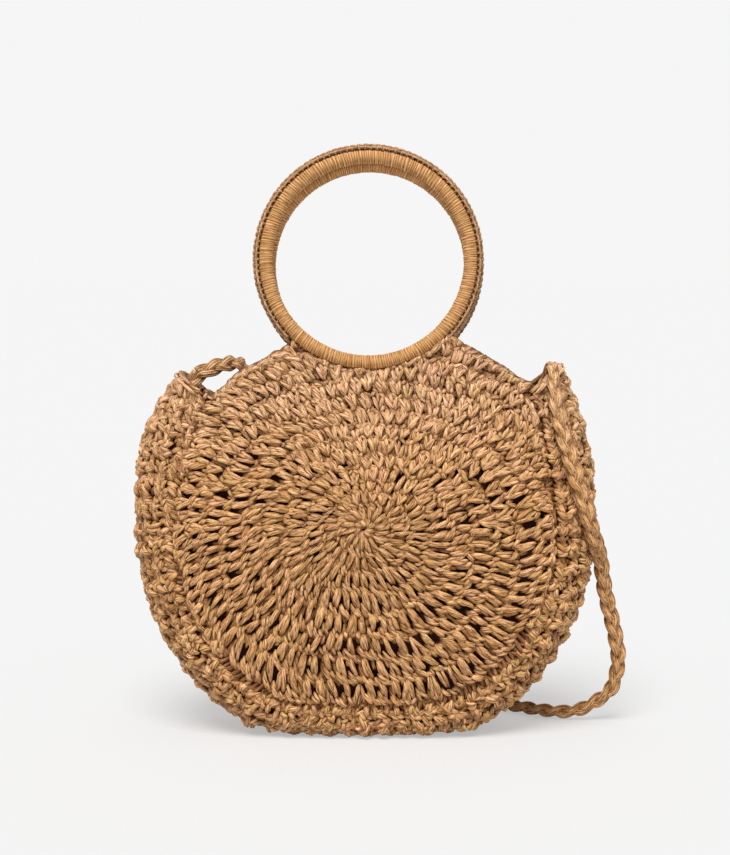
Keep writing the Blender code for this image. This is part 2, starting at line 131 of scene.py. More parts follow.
def mix_colours(nodes, links, blend, factor, first, second):
    """A Mix node for colours. factor, first and second may be sockets or values."""
    mix = nodes.new("ShaderNodeMix")
    mix.data_type = "RGBA"
    mix.blend_type = blend
    for socket, value in ((mix.inputs[0], factor), (mix.inputs[6], first), (mix.inputs[7], second)):
        if isinstance(value, bpy.types.NodeSocket):
            links.new(value, socket)
        else:
            socket.default_value = value
    return mix.outputs[2]


print("material helpers are ready")

# %% Straw material
# Crease colours from the bottom of a crease to its ridge: the straw's own streaks, with painted
# shade in the bottoms and painted highlight on the ridges.
STREAK_AND_CREASE_SHADE = (
    (0.20, 0.075, 0.022),
    (0.50, 0.262, 0.102),
    (0.68, 0.398, 0.180),
    (0.94, 0.622, 0.334),
)
CREASE_EDGE, CREASE_MIDDLE, CREASE_TOP = 0.065, 0.52, 0.66
CREASE_RELIEF = 0.6 * MM
CREASE_NOISE = {"Scale": 1.0, "Detail": 3.0, "Roughness": 0.62}
TONE_TINTS = (
    (0.0, (0.80, 0.66, 0.50)),
    (0.2, (0.95, 0.94, 0.78)),
    (0.45, (1.0, 0.97, 0.90)),
    (0.7, (1.02, 0.94, 0.98)),
    (1.0, (1.15, 1.10, 1.05)),
)
# Painted shade by depth: straw deep in the fabric is darkened, and the last stop, brightness, is
# painted light on the straw on top.
PAINTED_SHADE_BY_DEPTH = (
    (0.0, (0.16, 0.085, 0.045)),
    (0.35, (0.44, 0.31, 0.20)),
    (0.7, (0.88, 0.84, 0.79)),
)
STRAW_ROUGHNESS, STRAW_SHEEN = 0.58, 0.35
NO_TINT = (1.0, 1.0, 1.0)


def attribute_ramp(nodes, links, attribute, stops):
    """A colour looked up with an attribute of the mesh."""
    source = nodes.new("ShaderNodeAttribute")
    source.attribute_name = attribute
    ramp = ramp_node(nodes, stops)
    links.new(source.outputs["Fac"], ramp.inputs["Fac"])
    return ramp.outputs["Color"]


def straw_material(
    name, along, around, crease_place, brightness, bump, top_light_tint=NO_TINT, sheen=STRAW_SHEEN
):
    """Straw whose creases repeat `along` times a metre and `around` times a turn.

    crease_place is the noise value below which a crease gets its darkest
    painted shade, and brightness is the painted light on straw that lies on
    top of the fabric.
    """
    made, nodes, links, shader = new_material(name)
    uv = nodes.new("ShaderNodeUVMap")
    uv.uv_map = "UVMap"
    stretch = add_node(nodes, "ShaderNodeMapping", {"Scale": (along, around, 1.0)})
    links.new(uv.outputs["UV"], stretch.inputs["Vector"])
    crease = add_node(nodes, "ShaderNodeTexNoise", CREASE_NOISE)
    links.new(stretch.outputs["Vector"], crease.inputs["Vector"])
    places = (crease_place, crease_place + CREASE_EDGE, CREASE_MIDDLE, CREASE_TOP)
    # Streak colour with painted shade in the creases and painted highlight on their ridges.
    streak_and_shade = ramp_node(nodes, list(zip(places, STREAK_AND_CREASE_SHADE)))
    links.new(crease.outputs["Fac"], streak_and_shade.inputs["Fac"])

    tint = attribute_ramp(nodes, links, "tone", TONE_TINTS)
    tinted = mix_colours(nodes, links, "MULTIPLY", 1.0, streak_and_shade.outputs["Color"], tint)
    # Painted shade and painted light, by how deep the point lies in the fabric.
    shade = attribute_ramp(nodes, links, "depth", (*PAINTED_SHADE_BY_DEPTH, (1.0, brightness)))
    shaded = mix_colours(nodes, links, "MULTIPLY", 1.0, tinted, shade)
    # Painted light: the straw is tinted paler towards the top of the bag.
    painted_top_light = nodes.new("ShaderNodeAttribute")
    painted_top_light.attribute_name = "painted_top_light"
    final = mix_colours(nodes, links, "MULTIPLY", painted_top_light.outputs["Fac"], shaded, (*top_light_tint, 1.0))
    links.new(final, shader.inputs["Base Color"])

    shader.inputs["Roughness"].default_value = STRAW_ROUGHNESS
    shader.inputs["Specular IOR Level"].default_value = sheen
    add_relief(nodes, links, crease.outputs["Fac"], bump, CREASE_RELIEF, shader)
    return made


# The top tints are painted light that pales the top of the bag.
crochet_straw = straw_material(
    "crochet straw", 130.0, 11.0, 0.395, (1.17, 1.17, 1.17), 0.9, top_light_tint=(1.06, 1.14, 1.38)
)
plait_straw = straw_material(
    "plait straw", 200.0, 5.0, 0.38, (1.22, 1.24, 1.32), 0.6, top_light_tint=(1.0, 1.06, 1.20)
)
wrap_straw = straw_material(
    "wrap straw", 110.0, 3.0, 0.32, (1.22, 1.18, 1.08), 0.3, sheen=0.06
)
print("straw finishes:", crochet_straw.name, plait_straw.name, wrap_straw.name)

# %% [markdown]
# ## The one strand
#
# On the hook, a stretch of yarn between two loops is fat in the middle and
# pinched where the loops hold it. A cylinder gives the strand its eight sides.
# Its long edges are subdivided into rings, each ring is scaled to its width,
# and every second edge is drawn in, so that the strand looks like the four
# folds of paper that it is. Both ends are closed with a face.

# %% Model the strand
STRAND_SIDES = 8
STRAND_WIDTHS = (0.64, 0.95, 1.02, 1.02, 0.97, 0.70)
FOLD_DEPTH = 0.74
NEAR = 0.01


def edit_selection(chosen):
    """Select the vertices of the object in edit mode that `chosen` accepts."""
    bpy.ops.object.mode_set(mode="OBJECT")
    mesh = bpy.context.object.data
    flags = [bool(chosen(v.co)) for v in mesh.vertices]
    mesh.vertices.foreach_set("select", flags)
    for parts in (mesh.edges, mesh.polygons):
        parts.foreach_set("select", [all(flags[i] for i in part.vertices) for part in parts])
    bpy.ops.object.mode_set(mode="EDIT")


def model_strand():
    """The strand stands on the origin, 1 high, with a radius of about 1."""
    bpy.ops.object.select_all(action="DESELECT")
    bpy.ops.mesh.primitive_cylinder_add(
        vertices=STRAND_SIDES, radius=1.0, depth=1.0, end_fill_type="NOTHING", location=(0, 0, 0.5)
    )
    bpy.ops.object.transform_apply(location=True, rotation=False, scale=False)
    strand = bpy.context.object
    strand.name = "one_strand"
    mesh = strand.data
    heights = [v.co.z for v in mesh.vertices]
    long_edges = [abs(heights[e.vertices[0]] - heights[e.vertices[1]]) > 0.5 for e in mesh.edges]
    bpy.ops.object.mode_set(mode="EDIT")
    bpy.ops.mesh.select_mode(type="EDGE")
    bpy.ops.mesh.select_all(action="DESELECT")
    bpy.ops.object.mode_set(mode="OBJECT")
    mesh.edges.foreach_set("select", long_edges)
    bpy.ops.object.mode_set(mode="EDIT")
    rings = len(STRAND_WIDTHS)
    bpy.ops.mesh.subdivide(number_cuts=rings - 2)
    bpy.ops.mesh.select_mode(type="VERT")
    for k, width in enumerate(STRAND_WIDTHS):
        height = k / (rings - 1)
        edit_selection(lambda co: abs(co.z - height) < NEAR)
        bpy.ops.transform.resize(value=(width, width, 1.0), center_override=(0, 0, height))
    side_angle = 2 * math.pi / STRAND_SIDES
    first = math.atan2(mesh.vertices[0].co.y, mesh.vertices[0].co.x)
    edit_selection(lambda co: round((math.atan2(co.y, co.x) - first) / side_angle) % 2 == 1)
    bpy.ops.transform.resize(value=(FOLD_DEPTH, FOLD_DEPTH, 1.0), center_override=(0, 0, 0.5))
    for height in (0.0, 1.0):
        edit_selection(lambda co: abs(co.z - height) < NEAR)
        bpy.ops.mesh.edge_face_add()
    bpy.ops.mesh.select_all(action="SELECT")
    bpy.ops.mesh.normals_make_consistent(inside=False)
    bpy.ops.object.mode_set(mode="OBJECT")
    return strand


def read_strand(strand):
    """What a copy needs: each vertex's ring, angle and reach, and each face and its turns."""
    mesh = strand.data
    co = np.array([v.co[:] for v in mesh.vertices])
    ring = np.rint(co[:, 2] * (len(STRAND_WIDTHS) - 1)).astype(int)
    angle = np.arctan2(co[:, 1], co[:, 0])
    faces = [list(p.vertices) for p in mesh.polygons]
    corner_turn = []
    for face in faces:
        turn = (angle[face] / (2 * math.pi)) % 1.0
        if turn.max() - turn.min() > 0.5:
            turn = np.where(turn < 0.5, turn + 1.0, turn)
        corner_turn.append(turn)
    reach = np.hypot(co[:, 0], co[:, 1])
    return {"ring": ring, "angle": angle, "reach": reach, "faces": faces, "turn": corner_turn}


one_strand = model_strand()
STRAND = read_strand(one_strand)
bpy.data.objects.remove(one_strand, do_unlink=True)
print("the strand has", len(STRAND["ring"]), "vertices and", len(STRAND["faces"]), "faces")

# %% [markdown]
# ## Laying copies of it
#
# Each copy follows a path of six points, one for each ring of the strand. The
# rings are turned square to the path, and the surface's normal says which way
# is up. Blender's Curve modifier could bend one copy like this, but with
# thousands of copies it is quicker to do the same sum for all of them at once.
# Every copy becomes part of the piece's own mesh. The strap's yarns are long
# and even, so they are plain tubes along a line instead of copies.

# %% Make a piece
# Painted light pales the straw from 165 mm up, in full 60 mm higher.
TOP_LIGHT_START, TOP_LIGHT_RISE = 165 * MM, 60 * MM


def unit(vectors):
    """The same directions with a length of 1."""
    return vectors / np.maximum(np.linalg.norm(vectors, axis=-1, keepdims=True), 1e-9)


def face_outward(mesh):
    """Turn a closed mesh's faces over if they enclose a negative volume."""
    shell = bmesh.new()
    shell.from_mesh(mesh)
    inside_out = shell.calc_volume(signed=True) < 0
    shell.free()
    if inside_out:
        mesh.flip_normals()


def make_piece(name, points, faces, corner_uv, tone, depth, finish):
    """A smooth-shaded mesh object with a UV map and the straw's three attributes."""
    mesh = bpy.data.meshes.new(name)
    mesh.from_pydata(points.tolist(), [], faces)
    mesh.uv_layers.new(name="UVMap").data.foreach_set("uv", corner_uv.astype(np.float32).ravel())
    # How much of the painted light on the top of the bag each point gets.
    painted_top_light = np.clip((points[:, 2] - TOP_LIGHT_START) / TOP_LIGHT_RISE, 0, 1)
    for label, values in (("tone", tone), ("depth", depth), ("painted_top_light", painted_top_light)):
        layer = mesh.attributes.new(label, "FLOAT", "POINT")
        layer.data.foreach_set("value", values.astype(np.float32).ravel())
    mesh.materials.append(finish)
    piece = bpy.data.objects.new(name, mesh)
    bpy.context.collection.objects.link(piece)
    bpy.ops.object.select_all(action="DESELECT")
    bpy.context.view_layer.objects.active = piece
    piece.select_set(True)
    bpy.ops.object.shade_smooth()
    face_outward(mesh)
    print(name, "has", sum(len(face) - 2 for face in faces), "triangles")
    return piece


# %% Lay strands
STRAND_TWIST, STRAND_FLATNESS, STRAND_PLAY = 1.7, 0.86, 0.06
GROUND_SPACE = 0.2 * MM
# Only the painted shade uses these: the straw is darkest DEEPEST below the fabric's middle and
# lightest FULL_LIFT above it, and on the back face it grows lighter again from BACK_START behind
# the middle over BACK_RISE.
FULL_LIFT, DEEPEST = 3.8 * MM, 1.2 * MM
BACK_START, BACK_RISE = 0.4 * MM, 2.6 * MM


def lay_strands(name, strands, finish, flatness=STRAND_FLATNESS):
    """One piece made of copies of the strand.

    strands is a list of batches, each with its centres and normals (copies, 6, 3),
    the lift of each centre off the fabric's middle, which sets only the painted
    shade, and each copy's radius.
    """
    centres, normals, lifts, radii = (np.concatenate(values) for values in zip(*strands))
    count = len(centres)
    ring = STRAND["ring"]
    along = unit(np.gradient(centres, axis=1))
    across = unit(np.cross(along, normals))
    up = np.cross(across, along)
    phase = rng.uniform(0, 2 * math.pi, (count, 1))
    turned = STRAND["angle"][None] + phase + STRAND_TWIST * ring[None] / (len(STRAND_WIDTHS) - 1)
    reaches = STRAND["reach"][None] * radii[:, None]
    reaches = reaches * rng.normal(1.0, STRAND_PLAY, (count, len(ring)))
    wide = np.cos(turned) * reaches
    high = np.sin(turned) * reaches * flatness
    points = centres[:, ring] + wide[..., None] * across[:, ring] + high[..., None] * up[:, ring]
    points[..., 2] = np.maximum(points[..., 2], GROUND_SPACE)

    steps = np.linalg.norm(np.diff(centres, axis=1), axis=2)
    reach = np.concatenate([np.zeros((count, 1)), np.cumsum(steps, axis=1)], axis=1)
    offset = rng.uniform(0, 9, (count, 2))
    tone = np.repeat(rng.uniform(0, 1, (count, 1)), len(ring), axis=1)
    # Painted shade: the deeper a point lies in the fabric, the darker its straw.
    height = lifts[:, ring] + high
    outer = (height + DEEPEST) / (FULL_LIFT + DEEPEST)
    inner = (-height - BACK_START) / BACK_RISE
    depth = np.clip(np.maximum(outer, inner), 0, 1)

    size = len(ring)
    corner_ring = np.concatenate([ring[face] for face in STRAND["faces"]])
    corner_turn = np.concatenate(STRAND["turn"])
    u = reach[:, corner_ring] + offset[:, :1]
    v = corner_turn[None] + offset[:, 1:]
    faces = []
    for k in range(count):
        start = k * size
        faces.extend([[start + i for i in face] for face in STRAND["faces"]])
    corners = np.stack([u, v], axis=-1)
    return make_piece(name, points.reshape(-1, 3), faces, corners, tone, depth, finish)


print("strands will be laid with a twist of", STRAND_TWIST)

# %% Sweep tubes
UV_SHIFT = 1.37


def sweep(name, lines, ups, radius, flatness, sides, finish, shade_depths):
    """One piece made of a tube along each of the lines, which are (count, points, 3)."""
    count, steps, _ = lines.shape
    along = unit(np.gradient(lines, axis=1))
    across = unit(np.cross(along, ups))
    up = np.cross(across, along)
    angle = np.arange(sides) * 2 * math.pi / sides
    points = lines[:, :, None] + radius * (
        np.cos(angle)[None, None, :, None] * across[:, :, None]
        + flatness * np.sin(angle)[None, None, :, None] * up[:, :, None]
    )
    points[..., 2] = np.maximum(points[..., 2], GROUND_SPACE)
    hops = np.linalg.norm(np.diff(lines, axis=1), axis=2)
    reach = np.concatenate([np.zeros((count, 1)), np.cumsum(hops, axis=1)], axis=1)
    faces, corners = [], []
    for k in range(count):
        base, shift = k * steps * sides, k * UV_SHIFT
        for i in range(steps - 1):
            this, following = base + i * sides, base + (i + 1) * sides
            near, far = reach[k, i] + shift, reach[k, i + 1] + shift
            for s in range(sides):
                t = (s + 1) % sides
                faces.append([this + s, this + t, following + t, following + s])
                low, high = s / sides + shift, (s + 1) / sides + shift
                corners.extend([(near, low), (near, high), (far, high), (far, low)])
        end = base + (steps - 1) * sides
        faces.extend([[base + s for s in reversed(range(sides))], [end + s for s in range(sides)]])
        corners.extend([(shift, s / sides) for s in reversed(range(sides))])
        corners.extend([(reach[k, -1] + shift, s / sides) for s in range(sides)])
    tones = np.repeat(rng.uniform(0, 1, (count, 1)), steps, axis=1)
    tone = np.repeat(tones[..., None], sides, axis=2)
    depth = np.repeat(shade_depths[..., None], sides, axis=2)
    return make_piece(name, points.reshape(-1, 3), faces, np.array(corners), tone, depth, finish)


print("tubes will be swept along the strap")

# %% [markdown]
# ## The strap
#
# The strap is a plait of three bundles of straw. It is sewn inside the left
# ear, goes over the back rim, lies behind the bag and comes back up at the
# right. A plait's bundles swing from side to side as a sine wave, a third of a
# turn apart, and twice as fast from front to back. Each bundle is drawn here
# as six yarns round a flat core, which gives the fine herringbone. The plait
# is turned to face the front where it starts, and it narrows at the right ear.

# %% Strap route
STRAP_ROUTE = [
    (-0.1085, 0.0010, 0.2332), (-0.1020, 0.0035, 0.2363), (-0.0945, 0.0090, 0.2388),
    (-0.0865, 0.0180, 0.2398), (-0.0800, 0.0290, 0.2365), (-0.0775, 0.0380, 0.2260),
    (-0.0785, 0.0430, 0.2080), (-0.0810, 0.0500, 0.1700), (-0.0820, 0.0550, 0.1200),
    (-0.0820, 0.0570, 0.0700), (-0.0810, 0.0585, 0.0320), (-0.0745, 0.0620, 0.0125),
    (-0.0560, 0.0665, 0.0056), (-0.0200, 0.0680, 0.0048), (0.0150, 0.0665, 0.0048),
    (0.0420, 0.0668, 0.0048), (0.0555, 0.0723, 0.0048), (0.0612, 0.0858, 0.0048),
    (0.0555, 0.0993, 0.0048), (0.0420, 0.1048, 0.0048), (0.0100, 0.1045, 0.0048),
    (-0.0200, 0.1020, 0.0060), (-0.0400, 0.0880, 0.0120), (-0.0460, 0.0670, 0.0152),
    (-0.0360, 0.0500, 0.0110), (-0.0130, 0.0450, 0.0052), (0.0250, 0.0480, 0.0048),
    (0.0650, 0.0550, 0.0048), (0.0880, 0.0500, 0.0048), (0.1056, 0.0368, 0.0048),
    (0.1192, 0.0261, 0.0050), (0.1331, 0.0189, 0.0056), (0.1444, 0.0160, 0.0080),
    (0.1560, 0.0140, 0.0148), (0.1644, 0.0115, 0.0234), (0.1681, 0.0075, 0.0412),
    (0.1665, 0.0040, 0.0540), (0.1632, 0.0000, 0.0690), (0.1572, -0.0060, 0.0908),
    (0.1530, -0.0130, 0.1130), (0.1478, -0.0276, 0.1270), (0.1403, -0.0350, 0.1495),
    (0.1315, -0.0345, 0.1780), (0.1237, -0.0292, 0.2060), (0.1214, -0.0262, 0.2186),
    (0.1202, -0.0211, 0.2295),
]
LEFT_ANCHOR_ROUTE = [
    (-0.1085, 0.0010, 0.2332), (-0.1118, 0.0002, 0.2300), (-0.1152, 0.0000, 0.2256),
    (-0.1188, 0.0000, 0.2206),
]
RIGHT_ANCHOR_ROUTE = [
    (0.1202, -0.0211, 0.2295), (0.1206, -0.0176, 0.2356), (0.1206, -0.0118, 0.2392),
    (0.1204, -0.0058, 0.2384), (0.1196, -0.0014, 0.2343), (0.1178, 0.0000, 0.2295),
    (0.1160, 0.0000, 0.2252),
]
CURVE_STEPS = 24


def path_reach(points):
    """How far along a line each of its points is."""
    return np.concatenate([[0], np.cumsum(np.linalg.norm(np.diff(points, axis=0), axis=1))])


def along_line(marks, reach, line):
    """Points or directions at the given distances along a line."""
    return np.stack([np.interp(marks, reach, line[:, i]) for i in range(3)], axis=-1)


def smooth_route(route, spacing):
    """A Catmull-Rom curve through the route, with even spacing."""
    knots = np.array(route)
    knots = np.vstack([2 * knots[0] - knots[1], knots, 2 * knots[-1] - knots[-2]])
    t = np.linspace(0, 1, CURVE_STEPS, endpoint=False)[:, None]
    pieces = []
    for p0, p1, p2, p3 in zip(knots, knots[1:], knots[2:], knots[3:]):
        curve = 2 * p1 + (p2 - p0) * t + (2 * p0 - 5 * p1 + 4 * p2 - p3) * t**2
        pieces.append(0.5 * (curve + (3 * p1 - p0 - 3 * p2 + p3) * t**3))
    fine = np.vstack(pieces + [knots[-2:-1]])
    reach = path_reach(fine)
    marks = np.linspace(0, reach[-1], max(4, round(reach[-1] / spacing)) + 1)
    return along_line(marks, reach, fine), marks


strap_points, strap_marks = smooth_route(STRAP_ROUTE, 2.0 * MM)
left_points, left_marks = smooth_route(LEFT_ANCHOR_ROUTE[::-1], 1.5 * MM)
right_points, right_marks = smooth_route(RIGHT_ANCHOR_ROUTE, 1.5 * MM)
print("strap length", round(float(strap_marks[-1]), 4), "m")

# %% Up directions along the strap
RIGHT_FACING, LEFT_FACING = (0.15, -1.0, 0.1), (0.1, -1.0, 0.25)
TURN_START, TURN_END = 60 * MM, 450 * MM


def carry_normals(points, start):
    """A normal at each point that never twists about the path. `start` is the last one."""
    along = unit(np.gradient(points, axis=0))
    normals = np.zeros_like(points)
    normal = np.array(start, float)
    for k in range(len(points) - 1, -1, -1):
        normal = normal - along[k] * normal.dot(along[k])
        normal /= np.linalg.norm(normal)
        normals[k] = normal
    return normals


def step_up(value, low, high):
    """0 below low and 1 above high, with a smooth step between them."""
    share = np.clip((value - low) / (high - low), 0, 1)
    return share * share * (3 - 2 * share)


def turn_normals(points, normals, marks, wanted, begin, end):
    """Twist the normals so that the path starts facing `wanted`. The twist is gone by `end`."""
    along = unit(np.gradient(points, axis=0))
    sides = np.cross(along, normals)
    facing = np.array(wanted) - along[0] * np.dot(wanted, along[0])
    first = math.atan2(facing.dot(sides[0]), facing.dot(normals[0]))
    angle = first * (1 - step_up(marks, begin, end))
    return normals * np.cos(angle)[:, None] + sides * np.sin(angle)[:, None]


strap_normals = carry_normals(strap_points, RIGHT_FACING)
strap_normals = turn_normals(
    strap_points, strap_normals, strap_marks, LEFT_FACING, TURN_START, TURN_END
)
left_normals = carry_normals(left_points, strap_normals[0])
right_normals = carry_normals(right_points[::-1], strap_normals[-1])[::-1]
print("the strap starts facing", strap_normals[0].round(2))

# %% Plait the strap
PLAIT_PERIOD = 38 * MM
PLAIT_SWING = 2.8 * MM
PLAIT_CROSSING = 1.6 * MM
YARN_PLACES = ((-1.9, 0.0), (-0.65, 0.8), (0.65, 0.8), (1.9, 0.0), (0.65, -0.8), (-0.65, -0.8))
YARN_RADIUS, YARN_FLATNESS, YARN_SIDES = 0.94 * MM, 0.95, 6
# Painted shade on the plait: a yarn is darker where it passes under a crossing, towards the
# bundle's edges and on its underside.
YARN_SHADE_LEVEL, CROSSING_SHADE, PLACE_SHADE = 0.78, 0.16, 0.10
TOP_NARROWS, NARROWING = 0.70, 20 * MM


def plait_lines(points, marks, normals, start_phase, width):
    """The 18 yarn lines of a plait along a path, their upward directions and painted shade."""
    width = np.broadcast_to(width, marks.shape)
    along = unit(np.gradient(points, axis=0))
    across = unit(np.cross(along, normals))
    lines, shade_depths = [], []
    for bundle in range(3):
        phase = 2 * math.pi * (marks / PLAIT_PERIOD + bundle / 3) + start_phase
        swing = width * PLAIT_SWING * np.sin(phase)
        slope = PLAIT_SWING * 2 * math.pi / PLAIT_PERIOD * np.cos(phase)
        crossing = PLAIT_CROSSING * np.sin(2 * phase)
        length = np.sqrt(1 + slope**2)
        for yarn_across, yarn_up in YARN_PLACES:
            side_step = width * yarn_across * MM
            lines.append(
                points
                + along * (-slope / length * side_step)[:, None]
                + across * (swing + side_step / length)[:, None]
                + normals * (crossing + yarn_up * MM)[:, None]
            )
            # Painted shade: darker under a crossing, at the bundle's edges and underneath.
            depth = YARN_SHADE_LEVEL + CROSSING_SHADE * np.sin(2 * phase)
            shade_depths.append(depth - PLACE_SHADE * abs(yarn_across) + PLACE_SHADE * yarn_up)
    return np.array(lines), np.array([normals] * len(lines)), np.array(shade_depths)


def lay_plait(name, node, points, marks, normals, start_phase=0.0, width=1.0):
    """One stretch of the strap, in place of its CAD part."""
    lines, ups, shade_depths = plait_lines(points, marks, normals, start_phase, width)
    piece = sweep(name, lines, ups, YARN_RADIUS, YARN_FLATNESS, YARN_SIDES, plait_straw, shade_depths)
    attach(piece, "bag")
    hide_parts(node)
    return piece


left_phase = -2 * math.pi * left_marks[-1] / PLAIT_PERIOD
right_phase = 2 * math.pi * strap_marks[-1] / PLAIT_PERIOD
top_share = step_up(strap_marks, strap_marks[-1] - NARROWING, strap_marks[-1])
strap = lay_plait(
    "plaited_strap", "strap", strap_points, strap_marks, strap_normals,
    width=1 - (1 - TOP_NARROWS) * top_share,
)
left_end = lay_plait(
    "strap_end_left", "strap_anchor_left", left_points, left_marks, left_normals, left_phase
)
right_end = lay_plait(
    "strap_end_right", "strap_anchor_right", right_points, right_marks, right_normals,
    right_phase, TOP_NARROWS,
)

# %% [markdown]
# ## The body's outline
#
# The two rounds and the gusset are stretched over the same outline as the CAD
# parts, so the lesson needs that outline as formulas: how far the seam and the
# gusset lie from the body's centre at each angle, and how deep the wall is at
# each point of the front. The top of the round is pulled up to the ring, and
# from the ring a sloping rim runs down to each ear.

# %% Outline of the body
CENTRE = 132 * MM
SEAM_REACH, SEAM_EAR_REACH, SEAM_BASE = 122 * MM, 139.5 * MM, 21 * MM
SIDE_REACH, EAR_REACH, BASE_PRESS = 150 * MM, 159 * MM, 2.2 * MM
EAR_ANGLE, EAR_SWELL = math.radians(40.5), math.radians(32)
CROWN, SEAM_DEPTH, EAR_DEPTH, MOUTH_DEPTH, WALL = 45.5 * MM, 35 * MM, 19 * MM, 15.5 * MM, 5 * MM
FRONT, BACK = -1, 1
FOLD_RISE = {FRONT: 97 * MM, BACK: 92 * MM}
RIM_HALF = {FRONT: 92 * MM, BACK: 80 * MM}
RING_REACH, WRAP_REACH, GRIP_REACH, RING_HEIGHT = 65.25 * MM, 5.25 * MM, 70.8 * MM, 79 * MM
RING_SHIFT = {FRONT: 2.1 * MM, BACK: 3.2 * MM}
RING_GAP = 0.3 * MM
RING_LEAN = math.asin((MOUTH_DEPTH - WRAP_REACH - RING_GAP) / (RING_HEIGHT + RING_REACH))
BASE_POWER, LEAST_RISE = 20, 0.05
SEAM_POWER, DEPTH_POWER = 2.5, 1.5
TINY = 1e-6


def softer_of(side, flat, power):
    """The smaller of two values, with the corner between them rounded off."""
    return (side**-power + flat**-power) ** (-1 / power)


def body_reach(rise, high, side, base):
    """`high` above the middle, and below it `side`, pressed flat at `base` under the centre."""
    low = softer_of(side, base / np.maximum(-rise, LEAST_RISE), BASE_POWER)
    return np.where(rise > -LEAST_RISE, high, low)


def seam_reach(angle):
    """How far the seam is from the body's centre."""
    rise = np.sin(angle)
    up = (np.maximum(rise, 0) / math.sin(EAR_ANGLE)) ** SEAM_POWER
    high = SEAM_REACH + (SEAM_EAR_REACH - SEAM_REACH) * up
    return body_reach(rise, high, SEAM_REACH, CENTRE - SEAM_BASE)


def gusset_reach(angle):
    """How far the middle of the gusset is from the body's centre."""
    rise = np.sin(angle)
    high = SIDE_REACH + (EAR_REACH - SIDE_REACH) * step_up(rise, 0, math.sin(EAR_SWELL))
    return body_reach(rise, high, SIDE_REACH, CENTRE + BASE_PRESS)


def seam_depth(angle):
    """How far the seam is from the body's middle plane."""
    up = (np.maximum(np.sin(angle), 0) / math.sin(EAR_ANGLE)) ** DEPTH_POWER
    return SEAM_DEPTH - (SEAM_DEPTH - EAR_DEPTH) * np.minimum(up, 1.0)


def wall_edge(angle, side):
    """Radius and half depth of the wall's edge in the CAD."""
    corner_x, corner_z = RIM_HALF[side], FOLD_RISE[side]
    run, rise = np.abs(np.cos(angle)), np.maximum(np.sin(angle), 1e-4)
    end_x = SEAM_EAR_REACH * math.cos(EAR_ANGLE) - corner_x
    end_z = SEAM_EAR_REACH * math.sin(EAR_ANGLE) - corner_z
    across = run * end_z - rise * end_x
    across = np.where(np.abs(across) < TINY, -TINY, across)
    slant = (corner_x * end_z - corner_z * end_x) / across
    share = (corner_x * rise - corner_z * run) / across
    low = np.sin(angle) <= math.sin(EAR_ANGLE)
    flat = corner_z * run <= corner_x * rise
    radius = np.where(low, seam_reach(angle), np.where(flat, corner_z / rise, slant))
    sloped = MOUTH_DEPTH + (EAR_DEPTH - MOUTH_DEPTH) * share
    depth = np.where(low, seam_depth(angle), np.where(flat, MOUTH_DEPTH, sloped))
    return radius, depth


print("ring lean", round(math.degrees(RING_LEAN), 2), "degrees")

# %% Surface of a wall
INNER_POWER, TOP_DOME = 4, 0.35
SLOPE_STEP = 1.5 * MM


def wall_depth(x, z, side):
    """Half depth of the middle of the front or back wall, leaning in above the fold."""
    height = z - CENTRE
    angle = np.arctan2(height, x)
    radius, edge_depth = wall_edge(angle, side)
    share = np.minimum(np.hypot(x, height) / radius, 1.0)
    rise = np.maximum(np.sin(angle), 0.01)
    inner = softer_of(seam_reach(angle), FOLD_RISE[side] / rise, INNER_POWER)
    share = np.minimum(share * radius / (inner + (radius - inner) * share * share), 1.0)
    dome = 1 + TOP_DOME * np.maximum(np.sin(angle), 0) ** 2
    lean = math.tan(RING_LEAN) * np.maximum(height - FOLD_RISE[side], 0)
    return edge_depth + (CROWN - edge_depth) * (1 - share * share) ** dome - lean


def wall_place(x, z, side, lift):
    """Points and outward normals on the wall, lifted off its middle."""
    step = SLOPE_STEP
    slope_x = (wall_depth(x + step, z, side) - wall_depth(x - step, z, side)) / (2 * step)
    slope_z = (wall_depth(x, z + step, side) - wall_depth(x, z - step, side)) / (2 * step)
    normal = unit(np.stack([-slope_x, np.full_like(x, float(side)), -slope_z], axis=-1))
    point = np.stack([x, side * wall_depth(x, z, side), z], axis=-1)
    return point + normal * lift[..., None], normal


print("half depth at the centre", round(float(wall_depth(0.0, CENTRE, FRONT)) * 1000, 1), "mm")

# %% Top edge of the crochet
RIM_POINTS = {
    FRONT: (
        [
            (-106.1, 221.0), (-97.5, 220.5), (-89.7, 225.5),
            (-82.7, 233.5), (-70.0, 240.0), (-53.0, 249.0),
        ],
        [(62.5, 253.0), (74.8, 246.2), (90.4, 237.2), (97.5, 231.5), (106.1, 227.5)],
    ),
    BACK: (
        [
            (-106.1, 219.0), (-96.0, 216.5), (-86.0, 219.5),
            (-76.0, 226.0), (-65.0, 234.0), (-50.0, 244.0),
        ],
        [
            (60.0, 248.0), (70.0, 240.0), (80.0, 231.0),
            (88.0, 224.5), (97.5, 220.5), (106.1, 220.0),
        ],
    ),
}
GRIP_LIMITS, GRIP_POINTS = (math.radians(-42), math.radians(47)), 15
RIM_INSET = 1.0 * MM


def rim_line(side):
    """The top edge of the crochet, from the left ear by the ring to the right ear."""
    left, right = RIM_POINTS[side]
    turn = np.linspace(*GRIP_LIMITS, GRIP_POINTS)
    arc_x = RING_SHIFT[side] + GRIP_REACH * np.sin(turn)
    arc_z = CENTRE + FOLD_RISE[side] + RING_HEIGHT - GRIP_REACH * np.cos(turn)
    arc = np.stack([arc_x, arc_z], axis=1)
    return np.vstack([np.array(left) * MM, arc, np.array(right) * MM])


